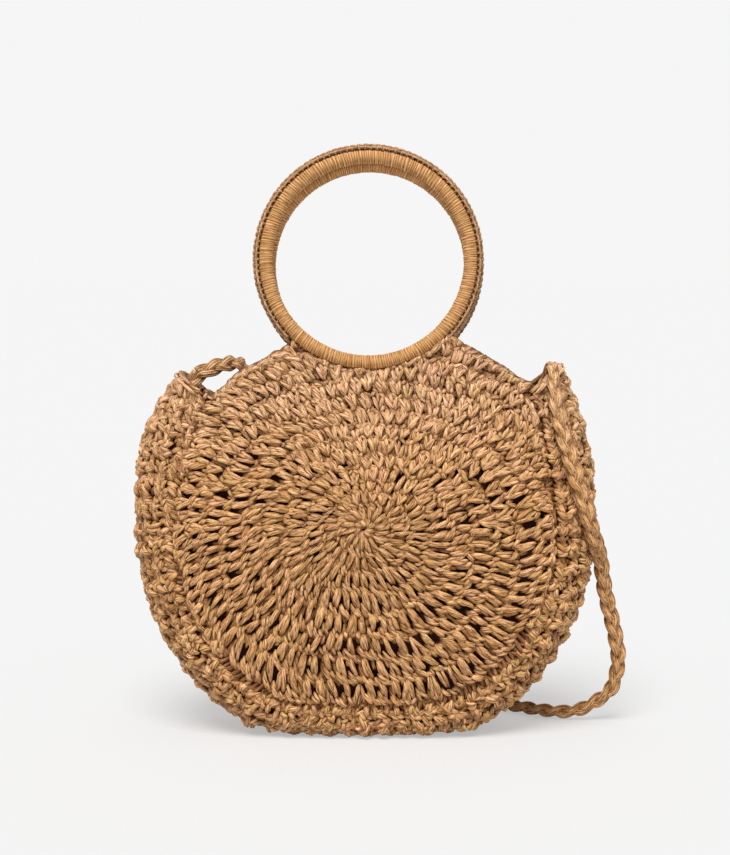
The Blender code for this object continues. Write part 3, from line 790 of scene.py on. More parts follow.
def crochet_reach(angle, side):
    """How far the crocheted round goes from the body's centre at each angle."""
    line = rim_line(side)
    angles = np.arctan2(line[:, 1] - CENTRE, line[:, 0])
    reach = np.hypot(line[:, 0], line[:, 1] - CENTRE)
    order = np.argsort(angles)
    rim = np.interp(angle, angles[order], reach[order])
    return np.where(np.sin(angle) > math.sin(EAR_ANGLE), rim, seam_reach(angle) - RIM_INSET)


print("rim of", len(rim_line(FRONT)), "points at the front and", len(rim_line(BACK)), "at the back")

# %% [markdown]
# ## The cell of a stitch
#
# A stitch is a few strands, each in a place of its own. A table holds those
# places for a stitch whose width and height are both 1. Each strand has six
# values across, six outwards and six heights in millimetres, one for each ring
# of the strand. A row of two values stands for even steps from one to the
# other, and a third value bows the row in its middle.

# %% Cell of a stitch
SPAN = np.linspace(0, 1, len(STRAND_WIDTHS))


def spread(values):
    """Six values as they are, or even steps from a first to a last with a bow."""
    if len(values) == len(SPAN):
        return np.array(values)
    first, last, bow = (*values, 0.0)[:3]
    return first + (last - first) * SPAN + bow * 4 * SPAN * (1 - SPAN)


def cell(across, out, lift, radius):
    """The places and the radius of one strand of a stitch."""
    return spread(across), spread(out), spread(lift), radius


print("a row from 0 to 1 with a bow of 0.1:", spread((0, 1, 0.1)).round(2))

# %% [markdown]
# ## The two rounds
#
# Each wall is worked in rounds from the middle out. The stitches keep an even
# width, so each round has more of them than the last, and the rounds are lower
# above the middle than below it. Part rows fill the rest of the wall up to its
# rim. Low on the bag a stitch is a leaf of leaning strands, with two feet that
# cross below it and a link to its neighbour. Towards the top more of them are
# forks, two legs with a tie on each side. The dark slot beside each stitch is
# where the fabric is open. A thick strand lies behind every row of stitches,
# and where the fabric is tighter, fillers and shutters close the slots too.
# These backing strands lie deep in the fabric, and painted shade keeps them dark.

# %% Places on a round
ROUND_SHARES = (
    0.0, 0.068, 0.163, 0.265, 0.385, 0.51, 0.63, 0.75,
    0.87, 1.0, 1.085, 1.17, 1.255, 1.34, 1.425, 1.51,
)
ROUND_REACH = 117 * MM
SIDE_ROUND, SIDE_SKEW, TOP_ROUND = 109 * MM, 4 * MM, 80 * MM
ROUND_RISE, INNER_SHARE, BASE_RISE, TOP_POWER = 6.6 * MM, 0.4, 1.6, 1.5
SHARE_WAVES = ((0.010, 5, 19), (0.006, 11, -31))
TURN_WAVES = ((0.018, 3, 14),)


def seen_angle(turn, side):
    """A turn round a wall as an angle seen from the front, from -pi to pi."""
    return np.angle(np.exp(1j * (turn if side == FRONT else math.pi - turn)))


def full_round(angle, side):
    """Where the last whole round lies: the rounds are lower above the middle."""
    rise = np.maximum(np.sin(angle), 0) ** TOP_POWER
    level = SIDE_ROUND + SIDE_SKEW * np.cos(angle)
    low = level + (ROUND_REACH - level) * np.clip(-BASE_RISE * np.sin(angle), 0, 1)
    return np.minimum(crochet_reach(angle, side), low - (level - TOP_ROUND) * rise)


def round_reach(angle, side, share):
    """How far out a round lies. Shares over 1 are the part rows beyond the whole rounds."""
    wide = ROUND_REACH + (full_round(angle, side) - ROUND_REACH) * step_up(share, 0, INNER_SHARE)
    return np.clip(share, 0, 1) * wide + np.maximum(share - 1, 0) * ROUND_REACH


def space_stitches(side, share, width):
    """Turns at even distances along a round, and how far each is from the next."""
    turns = np.linspace(0, 2 * math.pi, 721)
    reach = round_reach(seen_angle(turns, side), side, share)
    steps = np.hypot(np.diff(reach), 0.5 * (reach[1:] + reach[:-1]) * np.diff(turns))
    length = np.concatenate([[0], np.cumsum(steps)])
    count = round(length[-1] / width)
    marks = (np.arange(count + 1) + rng.uniform(0, 1)) * length[-1] / count
    placed = np.interp(marks % length[-1], length, turns) + 2 * math.pi * (marks // length[-1])
    return placed[:-1], np.diff(placed)


def waves(table, turn, share):
    """A sum of waves over the round, each with its height and its two counts."""
    return sum(height * np.sin(a * turn + b * share) for height, a, b in table)


def round_place(side, turn, share, lift, inset):
    """Points and normals on a crocheted round. turn goes round it and share goes out.

    No strand goes closer to the round's edge than its inset.
    """
    wander = waves(SHARE_WAVES, turn, share)
    turn = turn + waves(TURN_WAVES, turn, share)
    share = share + wander * np.clip(4 * share * (1 - share), 0, 1)
    angle = seen_angle(turn, side)
    reach = np.minimum(round_reach(angle, side, share), crochet_reach(angle, side) - inset)
    rise = ROUND_RISE * (1 - np.clip(share, 0, 1) ** 2)
    return wall_place(reach * np.cos(angle), CENTRE + rise + reach * np.sin(angle), side, lift)


print("the last whole round is", round(float(full_round(0.0, FRONT)) * 1000), "mm out at the side")

# %% Strands of the stitches
GRAIN = {
    "left ply": cell((0.29, 0.42, -0.05), (-0.12, 0.62), (1.6, 2.7, 3.2, 3.1, 2.4, 1.2), 1.46),
    "right ply": cell((0.43, 0.62, 0.06), (-0.16, 0.74), (2.0, 3.1, 3.5, 3.3, 2.5, 1.0), 1.54),
    "top ply": cell((0.36, 0.52), (-0.08, 0.54), (2.8, 3.9, 4.3, 4.1, 3.3, 2.0), 1.25),
    "first foot": cell((0.04, 0.44, -0.02), (0.46, 0.84), (1.0, 2.2, 2.9, 3.1, 2.7, 1.5), 1.35),
    "second foot": cell((-0.06, 0.52), (0.64, 1.02), (0.6, 2.0, 2.8, 3.0, 2.5, 1.0), 1.45),
    "heel": cell((0.42, 0.84, 0.02), (0.66, 1.02), (1.2, 2.4, 2.8, 2.6, 1.9, 0.6), 1.50),
    "link": cell((0.68, 1.08), (0.86, 1.06), (0.4, 1.4, 1.8, 1.6, 1.0, 0.0), 1.55),
}
FORK = {
    "left leg": cell((0.46, 0.14, -0.02), (-0.10, 0.80), (2.0, 3.1, 3.6, 3.6, 3.0, 1.6), 1.62),
    "right leg": cell((0.52, 0.84, 0.02), (-0.12, 0.76), (1.8, 2.9, 3.4, 3.4, 2.8, 1.4), 1.62),
    "top ply": cell((0.42, 0.22, -0.02), (0.00, 0.56), (2.8, 3.9, 4.3, 4.2, 3.6, 2.4), 1.15),
    "first tie": cell((0.06, 0.40), (0.70, 1.02), (0.5, 1.7, 2.3, 2.4, 1.9, 0.8), 1.45),
    "second tie": cell((0.98, 0.60), (0.74, 1.06), (0.5, 1.7, 2.3, 2.3, 1.7, 0.6), 1.45),
    "middle ply": cell((0.48, 0.54), (0.22, 0.96), (0.8, 1.9, 2.5, 2.6, 2.1, 1.0), 1.50),
}
# The backing lies deep, so the painted shade by depth makes it dark.
BACKING = {
    "sill": cell((-0.10, 1.12), (0.90, 0.92), (-0.4, -0.4), 2.50),
    "top fill": cell((1.00, 1.04), (-0.16, 0.26), (-0.2, 0.6, 1.0, 1.0, 0.6, -0.2), 1.60),
    "foot fill": cell((1.02, 1.10), (0.66, 1.06), (-0.2, 0.6, 1.0, 1.0, 0.6, -0.2), 1.60),
    "filler": cell((0.98, 1.06), (0.10, 0.86), (-0.2, 0.4, 0.7, 0.7, 0.4, -0.2), 2.00),
    "shutter": cell((-0.10, 1.12), (0.40, 0.42), (-1.0, -1.0), 2.90),
}
print("strands in a leaf and in a fork:", len(GRAIN), len(FORK))

# %% Kinds of stitch on a round
FULL_ROUNDS, TIGHT_ROUNDS = 9, 3
FORK_START, FORK_RISE, FORK_SHARES = 118 * MM, 56 * MM, (0.06, 0.94)
CLOSED_START, CLOSED_SKEW, CLOSED_RISE = 164 * MM, 18 * MM, 24 * MM
CLOSED_SHARE, CLOSED_EXTRA, EXTRA_START = 0.26, 0.36, 0.4
ALL_CLOSED, SHUT_START, FULL_START = 199 * MM, 168 * MM, 180 * MM
SIDE_SPAN = 60 * MM
TOP_ROOM, SIDE_ROOM = 1 * MM, 4.5 * MM


def choose_stitches(number, side, facing):
    """Whether each stitch of a round is forked, closed, shut and inside the rim."""
    start, end = ROUND_SHARES[number - 1], ROUND_SHARES[number]
    count = len(facing)
    reach = round_reach(facing, side, 0.5 * (start + end))
    height = CENTRE + reach * np.sin(facing)
    place = reach * np.cos(facing) / SIDE_SPAN
    fork_share = np.clip((height - FORK_START) / FORK_RISE, *FORK_SHARES)
    forked = rng.uniform(0, 1, count) < fork_share
    top = CLOSED_START + CLOSED_SKEW * np.clip(-place, 0, 1)
    least = CLOSED_SHARE + CLOSED_EXTRA * np.clip(place - EXTRA_START, 0, 1)
    closed_share = np.clip(least + (height - top) / CLOSED_RISE, least, 1.0)
    closed = rng.uniform(0, 1, count) < closed_share
    closed |= (number <= TIGHT_ROUNDS) | (height > ALL_CLOSED)
    shut = closed & (height > SHUT_START)
    room = crochet_reach(facing, side) - full_round(facing, side) - (start - 1) * ROUND_REACH
    needed = np.where(height > FULL_START, TOP_ROOM, SIDE_ROOM)
    return forked, closed, shut, (number <= FULL_ROUNDS) | (room > needed)


print("stitches are forks from", round(FORK_START, 3), "to", round(FORK_START + FORK_RISE, 3))

# %% Crochet the rounds
ROUND_WIDTHS = (3.1, 5.3, 5.6, 5.6, 6.6, 7.6, 8.2, 8.4)
FULL_PITCH, PITCH_POWER, PITCH_EXTRA = 8.4 * MM, 0.7, 0.08
FIRST_SIZE, FIRST_START, FIRST_HEIGHT = 1.9, 0.30, 0.72
LEAST_SHARE = 0.012
STITCH_LEAN, LEAN_PLAY, LEAN_START = 0.24, 0.14, 0.3
LEAF_PLAY, FORK_PLAY = 0.07, 0.15
PLACE_PLAY, SWAY_PLAY, SIZE_PLAY, RADIUS_PLAY = 0.05, 0.11, 0.08, 0.07
STITCH_RISE, STRAND_RISE = 0.4, 0.30
RIM_SPACE = (0.2, 2.6)
SIDES = ((FRONT, "front"), (BACK, "back"))
WALL_PARTS = {
    "rounds": range(1, 7),
    "outer_rounds": range(7, 10),
    "top_rows": range(10, 13),
    "corner_rows": range(13, 16),
}


def crochet_rounds(name, side, rounds):
    """The stitches of the given rounds as one piece."""
    strands = []
    for number in rounds:
        start, end = ROUND_SHARES[number - 1], ROUND_SHARES[number]
        width = ROUND_WIDTHS[min(number, len(ROUND_WIDTHS)) - 1] * MM
        scale = min(1.0, (width / FULL_PITCH) ** PITCH_POWER + PITCH_EXTRA)
        firsts, pitch = space_stitches(side, 0.5 * (start + end), width)
        count = len(firsts)
        firsts = firsts + rng.normal(0, PLACE_PLAY, count) * pitch
        forked, closed, shut, inside = choose_stitches(number, side, seen_angle(firsts, side))
        lean = rng.normal(STITCH_LEAN, LEAN_PLAY, (count, 1))
        play = rng.normal(0, 1, (count, 1)) * np.where(forked, FORK_PLAY, LEAF_PLAY)[:, None]
        rise = rng.normal(0, STITCH_RISE, (count, 1))
        size = rng.normal(1.0, SIZE_PLAY, count)
        limits = {"filler": closed, "shutter": shut, "top fill": closed | ~forked}
        families = ((GRAIN, inside & ~forked), (FORK, inside & forked), (BACKING, inside))
        for family, chosen in families:
            for kind, (cell_across, cell_out, cell_lift, radius) in family.items():
                if number == 1 and family is not BACKING:
                    chosen = np.full(count, kind == "right ply")
                    size = np.full(count, FIRST_SIZE)
                keep = chosen & limits.get(kind, True)
                loose = kind not in ("sill", "shutter")
                out = cell_out + (play + rng.normal(0, PLACE_PLAY, (count, 1))) * loose
                sway = rng.normal(0, SWAY_PLAY, (count, 1)) * (SPAN - 0.5)[None]
                across = cell_across + lean * (out - LEAN_START)
                across = across + rng.normal(0, PLACE_PLAY, (count, 1)) + sway
                lift = cell_lift + (rise + rng.normal(0, STRAND_RISE, (count, 1))) * loose
                lift = lift * MM * scale
                if number == 1:
                    out = FIRST_START + FIRST_HEIGHT * out
                share = np.maximum(start + (end - start) * out, LEAST_SHARE)
                inset = rng.uniform(*RIM_SPACE, (count, 1)) * MM
                turn = firsts[:, None] + across * pitch[:, None]
                centres, normals = round_place(side, turn, share, lift, inset)
                radii = radius * MM * scale * size * rng.normal(1.0, RADIUS_PLAY, count)
                strands.append((centres[keep], normals[keep], lift[keep], radii[keep]))
    return lay_strands(name, strands, crochet_straw)


walls = {}
for side, label in SIDES:
    for part, rounds in WALL_PARTS.items():
        walls[label, part] = crochet_rounds(f"{label}_{part}", side, rounds)

# %% [markdown]
# ## Rims
#
# The open edge of each wall, from the ring down to the ears, is finished with
# a row of stitches. In each, one strand goes over the edge and one comes up
# under it, and three more run along the edge and behind it, nose to tail.

# %% Rims
RIM_PITCH = 5.8 * MM
RIM_PLAY, RIM_RISE, RIM_RADIUS_PLAY = 0.07, 0.25, 0.1
RIM_STITCH = {
    "over": cell(
        (0.0, 0.22, 0.46, 0.68, 0.88, 1.02), (4.2, 3.0, 1.7, 0.5, -0.5, -1.1),
        (0.6, 1.9, 2.3, 1.9, 0.8, -0.9), 1.35,
    ),
    "under": cell(
        (0.95, 0.86, 0.76, 0.66, 0.58, 0.52), (4.8, 3.6, 2.5, 1.4, 0.5, -0.4),
        (0.4, 1.4, 1.8, 1.5, 0.9, -0.2), 1.25,
    ),
    "edge": cell(
        (-0.1, 0.15, 0.4, 0.65, 0.9, 1.12), (-0.3, -0.6, -0.6, -0.6, -0.5, -0.2),
        (-1.3, -1.4, -1.5, -1.5, -1.4, -1.3), 1.4,
    ),
    "back": cell(
        (-0.1, 0.15, 0.4, 0.65, 0.9, 1.12), (2.6, 2.4, 2.2, 2.2, 2.4, 2.6),
        (-1.5, -1.6, -1.7, -1.7, -1.6, -1.5), 2.1,
    ),
    "web": cell(
        (-0.1, 0.15, 0.4, 0.65, 0.9, 1.12), (6.0, 6.0),
        (-1.3, -1.4, -1.5, -1.5, -1.4, -1.3), 2.3,
    ),
}


def rim_strands(name, side):
    """The rim's stitches, from each ear to the ring."""
    line = rim_line(side)
    left_count, right_count = len(RIM_POINTS[side][0]), len(RIM_POINTS[side][1])
    strands = []
    for half in (line[: left_count + 1], line[-right_count - 1:]):
        reach = path_reach(half)
        count = max(2, round(reach[-1] / RIM_PITCH))
        play = rng.normal(0, RIM_PLAY, count)
        for along, inset, lift, radius in RIM_STITCH.values():
            marks = (np.arange(count) + play)[:, None] + along[None]
            marks = np.clip(marks * reach[-1] / count, 0, reach[-1])
            x, z = np.interp(marks, reach, half[:, 0]), np.interp(marks, reach, half[:, 1])
            angle = np.arctan2(z - CENTRE, x)
            x = x - MM * inset * np.cos(angle)
            z = z - MM * inset * np.sin(angle)
            lift = lift * MM + rng.normal(0, RIM_RISE, (count, 1)) * MM
            centres, normals = wall_place(x, z, side, lift)
            radii = rng.normal(radius, RIM_RADIUS_PLAY, count) * MM
            strands.append((centres, normals, lift, radii))
    return lay_strands(name, strands, crochet_straw)


for side, label in SIDES:
    walls[label, "rim"] = rim_strands(label + "_rim", side)

for side, label in SIDES:
    panel, band = label + "_panel", label + "_handle_band"
    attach(walls[label, "rounds"], "bag")
    for part in ("outer_rounds", "top_rows", "corner_rows", "rim"):
        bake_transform(walls[label, part])
    for part in ("rounds", "outer_rounds"):
        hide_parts(panel)
    for part in ("top_rows", "corner_rows"):
        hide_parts(panel, band)

# %% [markdown]
# ## The gusset
#
# The gusset is eleven rows of tight crochet that run round the body from ear
# to ear. A stitch is five strands that cross over a plump filler. It is turned
# a little at random, and every second row is worked the other way. The surface
# it lies on bulges between the two seams, with a fuller shoulder at the right
# ear, so a table of points across it is worked out first, evenly spaced, and
# each stitch looks up its place there. A slow swell along each row gives the
# gusset its scalloped outline.

# %% Surface of the gusset
GUSSET_ROWS = 11
GUSSET_PITCH = 8.4 * MM
GUSSET_INSET = 2.3 * MM
SHOULDER, SHOULDER_ANGLE, SHOULDER_POWER = 8 * MM, math.radians(24), 1.3
TABLE_ANGLES, TABLE_TURNS, TABLE_ROWS = 361, 121, 61


def bulge_power(angle):
    """How square the gusset's section is: rounded at the sides and squarer at the base."""
    return 2 / (2.2 + 1.8 * np.maximum(-np.sin(angle), 0) ** 4)


def gusset_table():
    """Evenly spaced points across the gusset at many angles: (angles, across, 3)."""
    angles = np.linspace(EAR_ANGLE, -math.pi - EAR_ANGLE, TABLE_ANGLES)
    turn = np.linspace(-math.pi / 2, math.pi / 2, TABLE_TURNS)
    rows = []
    for angle in angles:
        base = float(seam_reach(angle))
        near_ear = max((angle - SHOULDER_ANGLE) / (EAR_ANGLE - SHOULDER_ANGLE), 0.0)
        shoulder = SHOULDER * near_ear**SHOULDER_POWER
        rise = float(gusset_reach(angle)) + shoulder - GUSSET_INSET - base
        half = float(seam_depth(angle)) + WALL / 2 - GUSSET_INSET
        power = bulge_power(angle)
        across = np.sign(turn) * half * np.abs(np.sin(turn)) ** power
        reach = base + rise * np.maximum(np.cos(turn), 0) ** power
        line = np.stack([reach * math.cos(angle), across, CENTRE + reach * math.sin(angle)], axis=1)
        line[:, 2] = np.maximum(line[:, 2], GUSSET_INSET)
        length = path_reach(line)
        rows.append(along_line(np.linspace(0, length[-1], TABLE_ROWS), length, line))
    table = np.array(rows)
    along = np.gradient(table, axis=0)
    across = np.gradient(table, axis=1)
    normals = unit(np.cross(along, across))
    outward = table - np.array([0, 0, CENTRE])
    flip = np.sign((normals * outward).sum(axis=2, keepdims=True))
    middle_reach = np.linalg.norm(np.diff(table[:, TABLE_ROWS // 2], axis=0), axis=1).sum()
    return table, normals * flip, middle_reach


def look_up(table, along, across):
    """Bilinear look-up with both places as shares from 0 to 1."""
    i = np.clip(along, 0, 1) * (table.shape[0] - 1)
    j = np.clip(across, 0, 1) * (table.shape[1] - 1)
    i0 = np.minimum(i.astype(int), table.shape[0] - 2)
    j0 = np.minimum(j.astype(int), table.shape[1] - 2)
    fi, fj = (i - i0)[..., None], (j - j0)[..., None]
    return (
        table[i0, j0] * (1 - fi) * (1 - fj) + table[i0 + 1, j0] * fi * (1 - fj)
        + table[i0, j0 + 1] * (1 - fi) * fj + table[i0 + 1, j0 + 1] * fi * fj
    )


def gusset_place(along, across, lift):
    """Points and outward normals on the gusset, lifted off its surface."""
    normal = unit(look_up(GUSSET_NORMALS, along, across))
    return look_up(GUSSET_POINTS, along, across) + normal * lift[..., None], normal


GUSSET_POINTS, GUSSET_NORMALS, GUSSET_LENGTH = gusset_table()
print("gusset is", round(GUSSET_LENGTH, 3), "m long round the body")

# %% Crochet the gusset
GUSSET_STITCH = {
    "slant": cell((0.06, 0.52, 0.05), (-0.14, 0.66), (1.0, 2.2, 2.8, 2.8, 2.2, 1.0), 1.85),
    "partner": cell((0.46, 0.78, 0.04), (0.00, 0.64), (0.8, 1.9, 2.4, 2.3, 1.8, 0.8), 1.70),
    "counter": cell((1.04, 0.58, 0.04), (0.30, 0.94), (0.8, 1.9, 2.5, 2.5, 2.0, 0.9), 1.80),
    "cross": cell((-0.02, 0.52), (0.92, 0.60), (0.6, 1.8, 2.3, 2.3, 1.7, 0.7), 1.70),
    "loop": cell((0.28, 1.00), (0.96, 1.06, 0.08), (0.5, 1.6, 2.1, 2.1, 1.6, 0.5), 1.65),
    "filler": cell((-0.10, 1.10), (0.50, 0.50), (0.4, 0.4), 3.10),
}
GUSSET_LIFT = -1.9
SCALLOP_PITCH, SCALLOP_DRIFT = 14 * MM, 0.9
ALONG_PLAY, ACROSS_PLAY, GUSSET_RISE, TURN_PLAY, SWING_PLAY = 0.08, 0.06, 0.75, 0.50, 0.25
EDGE_SHARES = (0.005, 0.995)
GUSSET_PARTS = {"front": range(0, 4), "middle": range(4, 7), "back": range(7, GUSSET_ROWS)}


def crochet_gusset(name, rows):
    """The stitches of the given rows as one piece."""
    strands = []
    count = round(GUSSET_LENGTH / GUSSET_PITCH)
    for row in rows:
        play_along = rng.normal(0, ALONG_PLAY, count)
        play_across = rng.normal(0, ACROSS_PLAY, count)
        rise = rng.normal(0, GUSSET_RISE, (count, 1))
        size = rng.normal(1.0, SIZE_PLAY, count)
        turn = rng.normal(0, TURN_PLAY, (count, 1))
        firsts = np.arange(count)[:, None] + play_along[:, None] + rng.uniform(-0.5, 0.5)
        for kind, (cell_along, cell_across, cell_lift, radius) in GUSSET_STITCH.items():
            along = (cell_along - 0.5) * (-1 if row % 2 else 1)
            across = cell_across - 0.5
            swing = (turn + rng.normal(0, SWING_PLAY, (count, 1))) * (kind != "filler")
            a = 0.5 + along * np.cos(swing) - across * np.sin(swing)
            b = 0.5 + across * np.cos(swing) + along * np.sin(swing)
            a = (firsts + a + rng.normal(0, PLACE_PLAY, (count, 1))) / count
            b = np.clip((row + play_across[:, None] + b) / GUSSET_ROWS, *EDGE_SHARES)
            swell = np.sin(2 * math.pi * a * GUSSET_LENGTH / SCALLOP_PITCH + SCALLOP_DRIFT * row)
            if kind == "filler":
                lift = cell_lift + np.maximum(swell, 0)
            else:
                lift = cell_lift + (rise + rng.normal(0, STRAND_RISE, (count, 1)) + swell)
            centres, normals = gusset_place(a, b, (lift + GUSSET_LIFT) * MM)
            radii = radius * MM * size * rng.normal(1.0, RADIUS_PLAY, count)
            # The lift for the painted shade sits 1.4 mm above the stitch's own, so the gusset's
            # hollows are painted a little less dark.
            strands.append((centres, normals, (lift - 0.5) * MM, radii))
    return lay_strands(name, strands, crochet_straw)


for part, rows in GUSSET_PARTS.items():
    piece = crochet_gusset(f"gusset_{part}_rows", rows)
    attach(piece, "bag")
    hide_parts("gusset")

# %% [markdown]
# ## The seams
#
# Where a wall meets the gusset, one row of plump stitches grips both edges.
# They stand on the ridge between the two surfaces, so their up direction is
# about halfway between the wall's and the gusset's. At the right of the front
# the seam sinks into a crease.

# %% Seams
SEAM_PITCH = 7.6 * MM
CREASE_DEPTH, CREASE_ANGLE, CREASE_SPREAD = 2.6 * MM, math.radians(14), math.radians(22)
SEAM_WIDTH, SEAM_LIFT, LEAST_SEAM_HEIGHT = 5.2 * MM, 0.3 * MM, 2 * MM
SEAM_POINTS = 721
SEAM_PLAY, SEAM_RISE, SEAM_SHIFT = 0.10, (-0.4, 0.35), 0.8
RIDGE_OUT, RIDGE_ASIDE = 0.55, 0.85
SEAM_STITCH = {
    "slant": cell(
        (0.06, 0.18, 0.3, 0.42, 0.54, 0.66), (-1.1, -0.66, -0.22, 0.22, 0.66, 1.1),
        (-2.0, -0.2, 0.9, 1.0, 0.2, -1.6), 1.55,
    ),
    "partner": cell(
        (0.5, 0.6, 0.68, 0.74, 0.8, 0.85), (-1.15, -0.75, -0.32, 0.12, 0.52, 0.9),
        (-2.1, -0.5, 0.6, 0.8, 0.0, -1.5), 1.45,
    ),
    "counter": cell(
        (1.16, 1.08, 1.0, 0.9, 0.8, 0.7), (-0.6, -0.26, 0.08, 0.4, 0.72, 1.02),
        (-1.6, -0.2, 0.6, 0.7, 0.1, -1.4), 1.4,
    ),
    "core": cell(
        (-0.1, 0.15, 0.4, 0.65, 0.9, 1.1), (0.0, 0.05, -0.05, 0.05, -0.05, 0.0),
        (-2.0, -1.8, -1.7, -1.7, -1.8, -2.0), 2.2,
    ),
}


def seam_strands(name, side):
    """The seam's stitches, from the right ear round the base to the left ear."""
    angles = np.linspace(EAR_ANGLE, -math.pi - EAR_ANGLE, SEAM_POINTS)
    reach = seam_reach(angles)
    line = np.stack([
        reach * np.cos(angles),
        side * (seam_depth(angles) + SEAM_LIFT),
        np.maximum(CENTRE + reach * np.sin(angles), LEAST_SEAM_HEIGHT),
    ], axis=1)
    length = path_reach(line)
    outward = np.stack([np.cos(angles), np.zeros_like(angles), np.sin(angles)], axis=1)
    facing = np.array([0.0, float(side), 0.0])
    ridge = unit(outward * RIDGE_OUT + facing * RIDGE_ASIDE)
    over = unit(outward * RIDGE_ASIDE - facing * RIDGE_OUT)
    count = round(length[-1] / SEAM_PITCH)
    play = rng.normal(0, SEAM_PLAY, count)
    strands = []
    for along, across, lift, radius in SEAM_STITCH.values():
        marks = (np.arange(count) + play)[:, None] + along[None]
        marks = np.clip(marks * length[-1] / count, 0, length[-1])
        base = along_line(marks, length, line)
        normal = unit(along_line(marks, length, ridge))
        cross = unit(along_line(marks, length, over))
        angle = np.interp(marks, length, angles)
        crease = CREASE_DEPTH * np.exp(-(((angle - CREASE_ANGLE) / CREASE_SPREAD) ** 4))
        lift = lift * MM + rng.normal(*SEAM_RISE, (count, 1)) * MM - crease * (side == FRONT)
        shift = SEAM_WIDTH * across + rng.normal(0, SEAM_SHIFT, (count, 1)) * MM
        centres = base + cross * shift[..., None] + normal * lift[..., None]
        radii = radius * MM * rng.normal(1.0, RADIUS_PLAY, count)
        strands.append((centres, normal, lift, radii))
    return lay_strands(name, strands, crochet_straw)


for side, label in SIDES:
    seam = seam_strands(label + "_seam_stitches", side)
    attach(seam, "bag")
    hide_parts(label + "_seam")

# %% [markdown]
# ## Ears
#
# The gusset ends in an ear on each side of the mouth. Its cut end is bound
# with three yarns that follow the gusset's curve from seam to seam.

# %% Ears
EAR_STRANDS = 7
EAR_YARNS = ((0.0, 0.0, 0.9, 1.5), (0.004, 0.4, 2.3, 1.35), (0.0, 0.0, -1.3, 1.5))
EAR_OVERLAP, EAR_SPARE, EAR_ARCH, EAR_PLAY = 0.12, 0.4, 0.5 * MM, 0.08


def ear_strands(name, end):
    """Each yarn has an inset, a start and a height, and is laid in strands end to end."""
    strands = []
    path = np.linspace(-EAR_OVERLAP, 1 + EAR_OVERLAP, len(SPAN))
    for inset, start, height, radius in EAR_YARNS:
        marks = (np.arange(EAR_STRANDS)[:, None] + start + path[None]) / (EAR_STRANDS + EAR_SPARE)
        marks = np.clip(marks, 0.0, 1.0)
        place = np.full_like(marks, inset if end == 0 else 1 - inset)
        lift = np.full_like(marks, height * MM) + EAR_ARCH * np.sin(math.pi * SPAN)[None]
        centres, normals = gusset_place(place, marks, lift)
        strands.append((centres, normals, lift, rng.normal(radius, EAR_PLAY, EAR_STRANDS) * MM))
    return lay_strands(name, strands, crochet_straw)


for end, label in ((0, "right"), (1, "left")):
    ear = ear_strands(label + "_ear_binding", end)
    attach(ear, "bag")

# %% [markdown]
# ## The rings
#
# Each ring is a hoop wound closely with straw, in about 265 turns of a
# millimetre and a half. The winding is one closed tube whose radius rises and
# falls once a turn, slightly slanted, as a wound yarn is. Each turn gets its
# own tone, and painted shade darkens the grooves between the turns. Round the
# outside of the ring runs a chain of crochet: a line of short strands on each
# side, posts that rise from both to a crest, and dark gaps between the posts,
# where the core beneath them is darkened with painted shade.

# %% Ring winding
TURN_PITCH = 1.55 * MM
RINGS_PER_TURN = 5
TUBE_SIDES = 16
WINDING_REACH = 65.9 * MM
WINDING_RADIUS, WINDING_DEPTH = 4.45 * MM, 5.1 * MM
TURN_WIDTHS, WIDTH_PLAY, RIDGE_POWER = (0.45, 1.9), 0.30, 0.6
TURN_HEIGHT, HEIGHT_PLAY, TURN_BASE = 0.45 * MM, 0.10 * MM, 0.30 * MM
TURN_TONE, TONE_PLAY = 0.55, 0.24
# Painted shade: the straw is darker in the grooves between turns and lighter on their ridges.
GROOVE_SHADE, RIDGE_SHADE = 0.12, 0.86
RIGHT = np.array([1.0, 0, 0])


def ring_axes(side):
    """The ring's centre, its upward direction in the ring's plane and its outward side."""
    lean = RING_LEAN
    pivot = np.array([0.0, side * (MOUTH_DEPTH + WALL / 2), CENTRE + FOLD_RISE[side]])
    inward = np.array([0.0, -side * math.cos(lean), -math.sin(lean)])
    up = np.array([0.0, -side * math.sin(lean), math.cos(lean)])
    return pivot + inward * WALL / 2 + up * RING_HEIGHT + RING_SHIFT[side] * RIGHT, up, -inward


def radial_from(turn, up):
    """The way out from a ring's centre at each turn, which starts at its lowest point."""
    return np.sin(turn)[..., None] * RIGHT - np.cos(turn)[..., None] * up


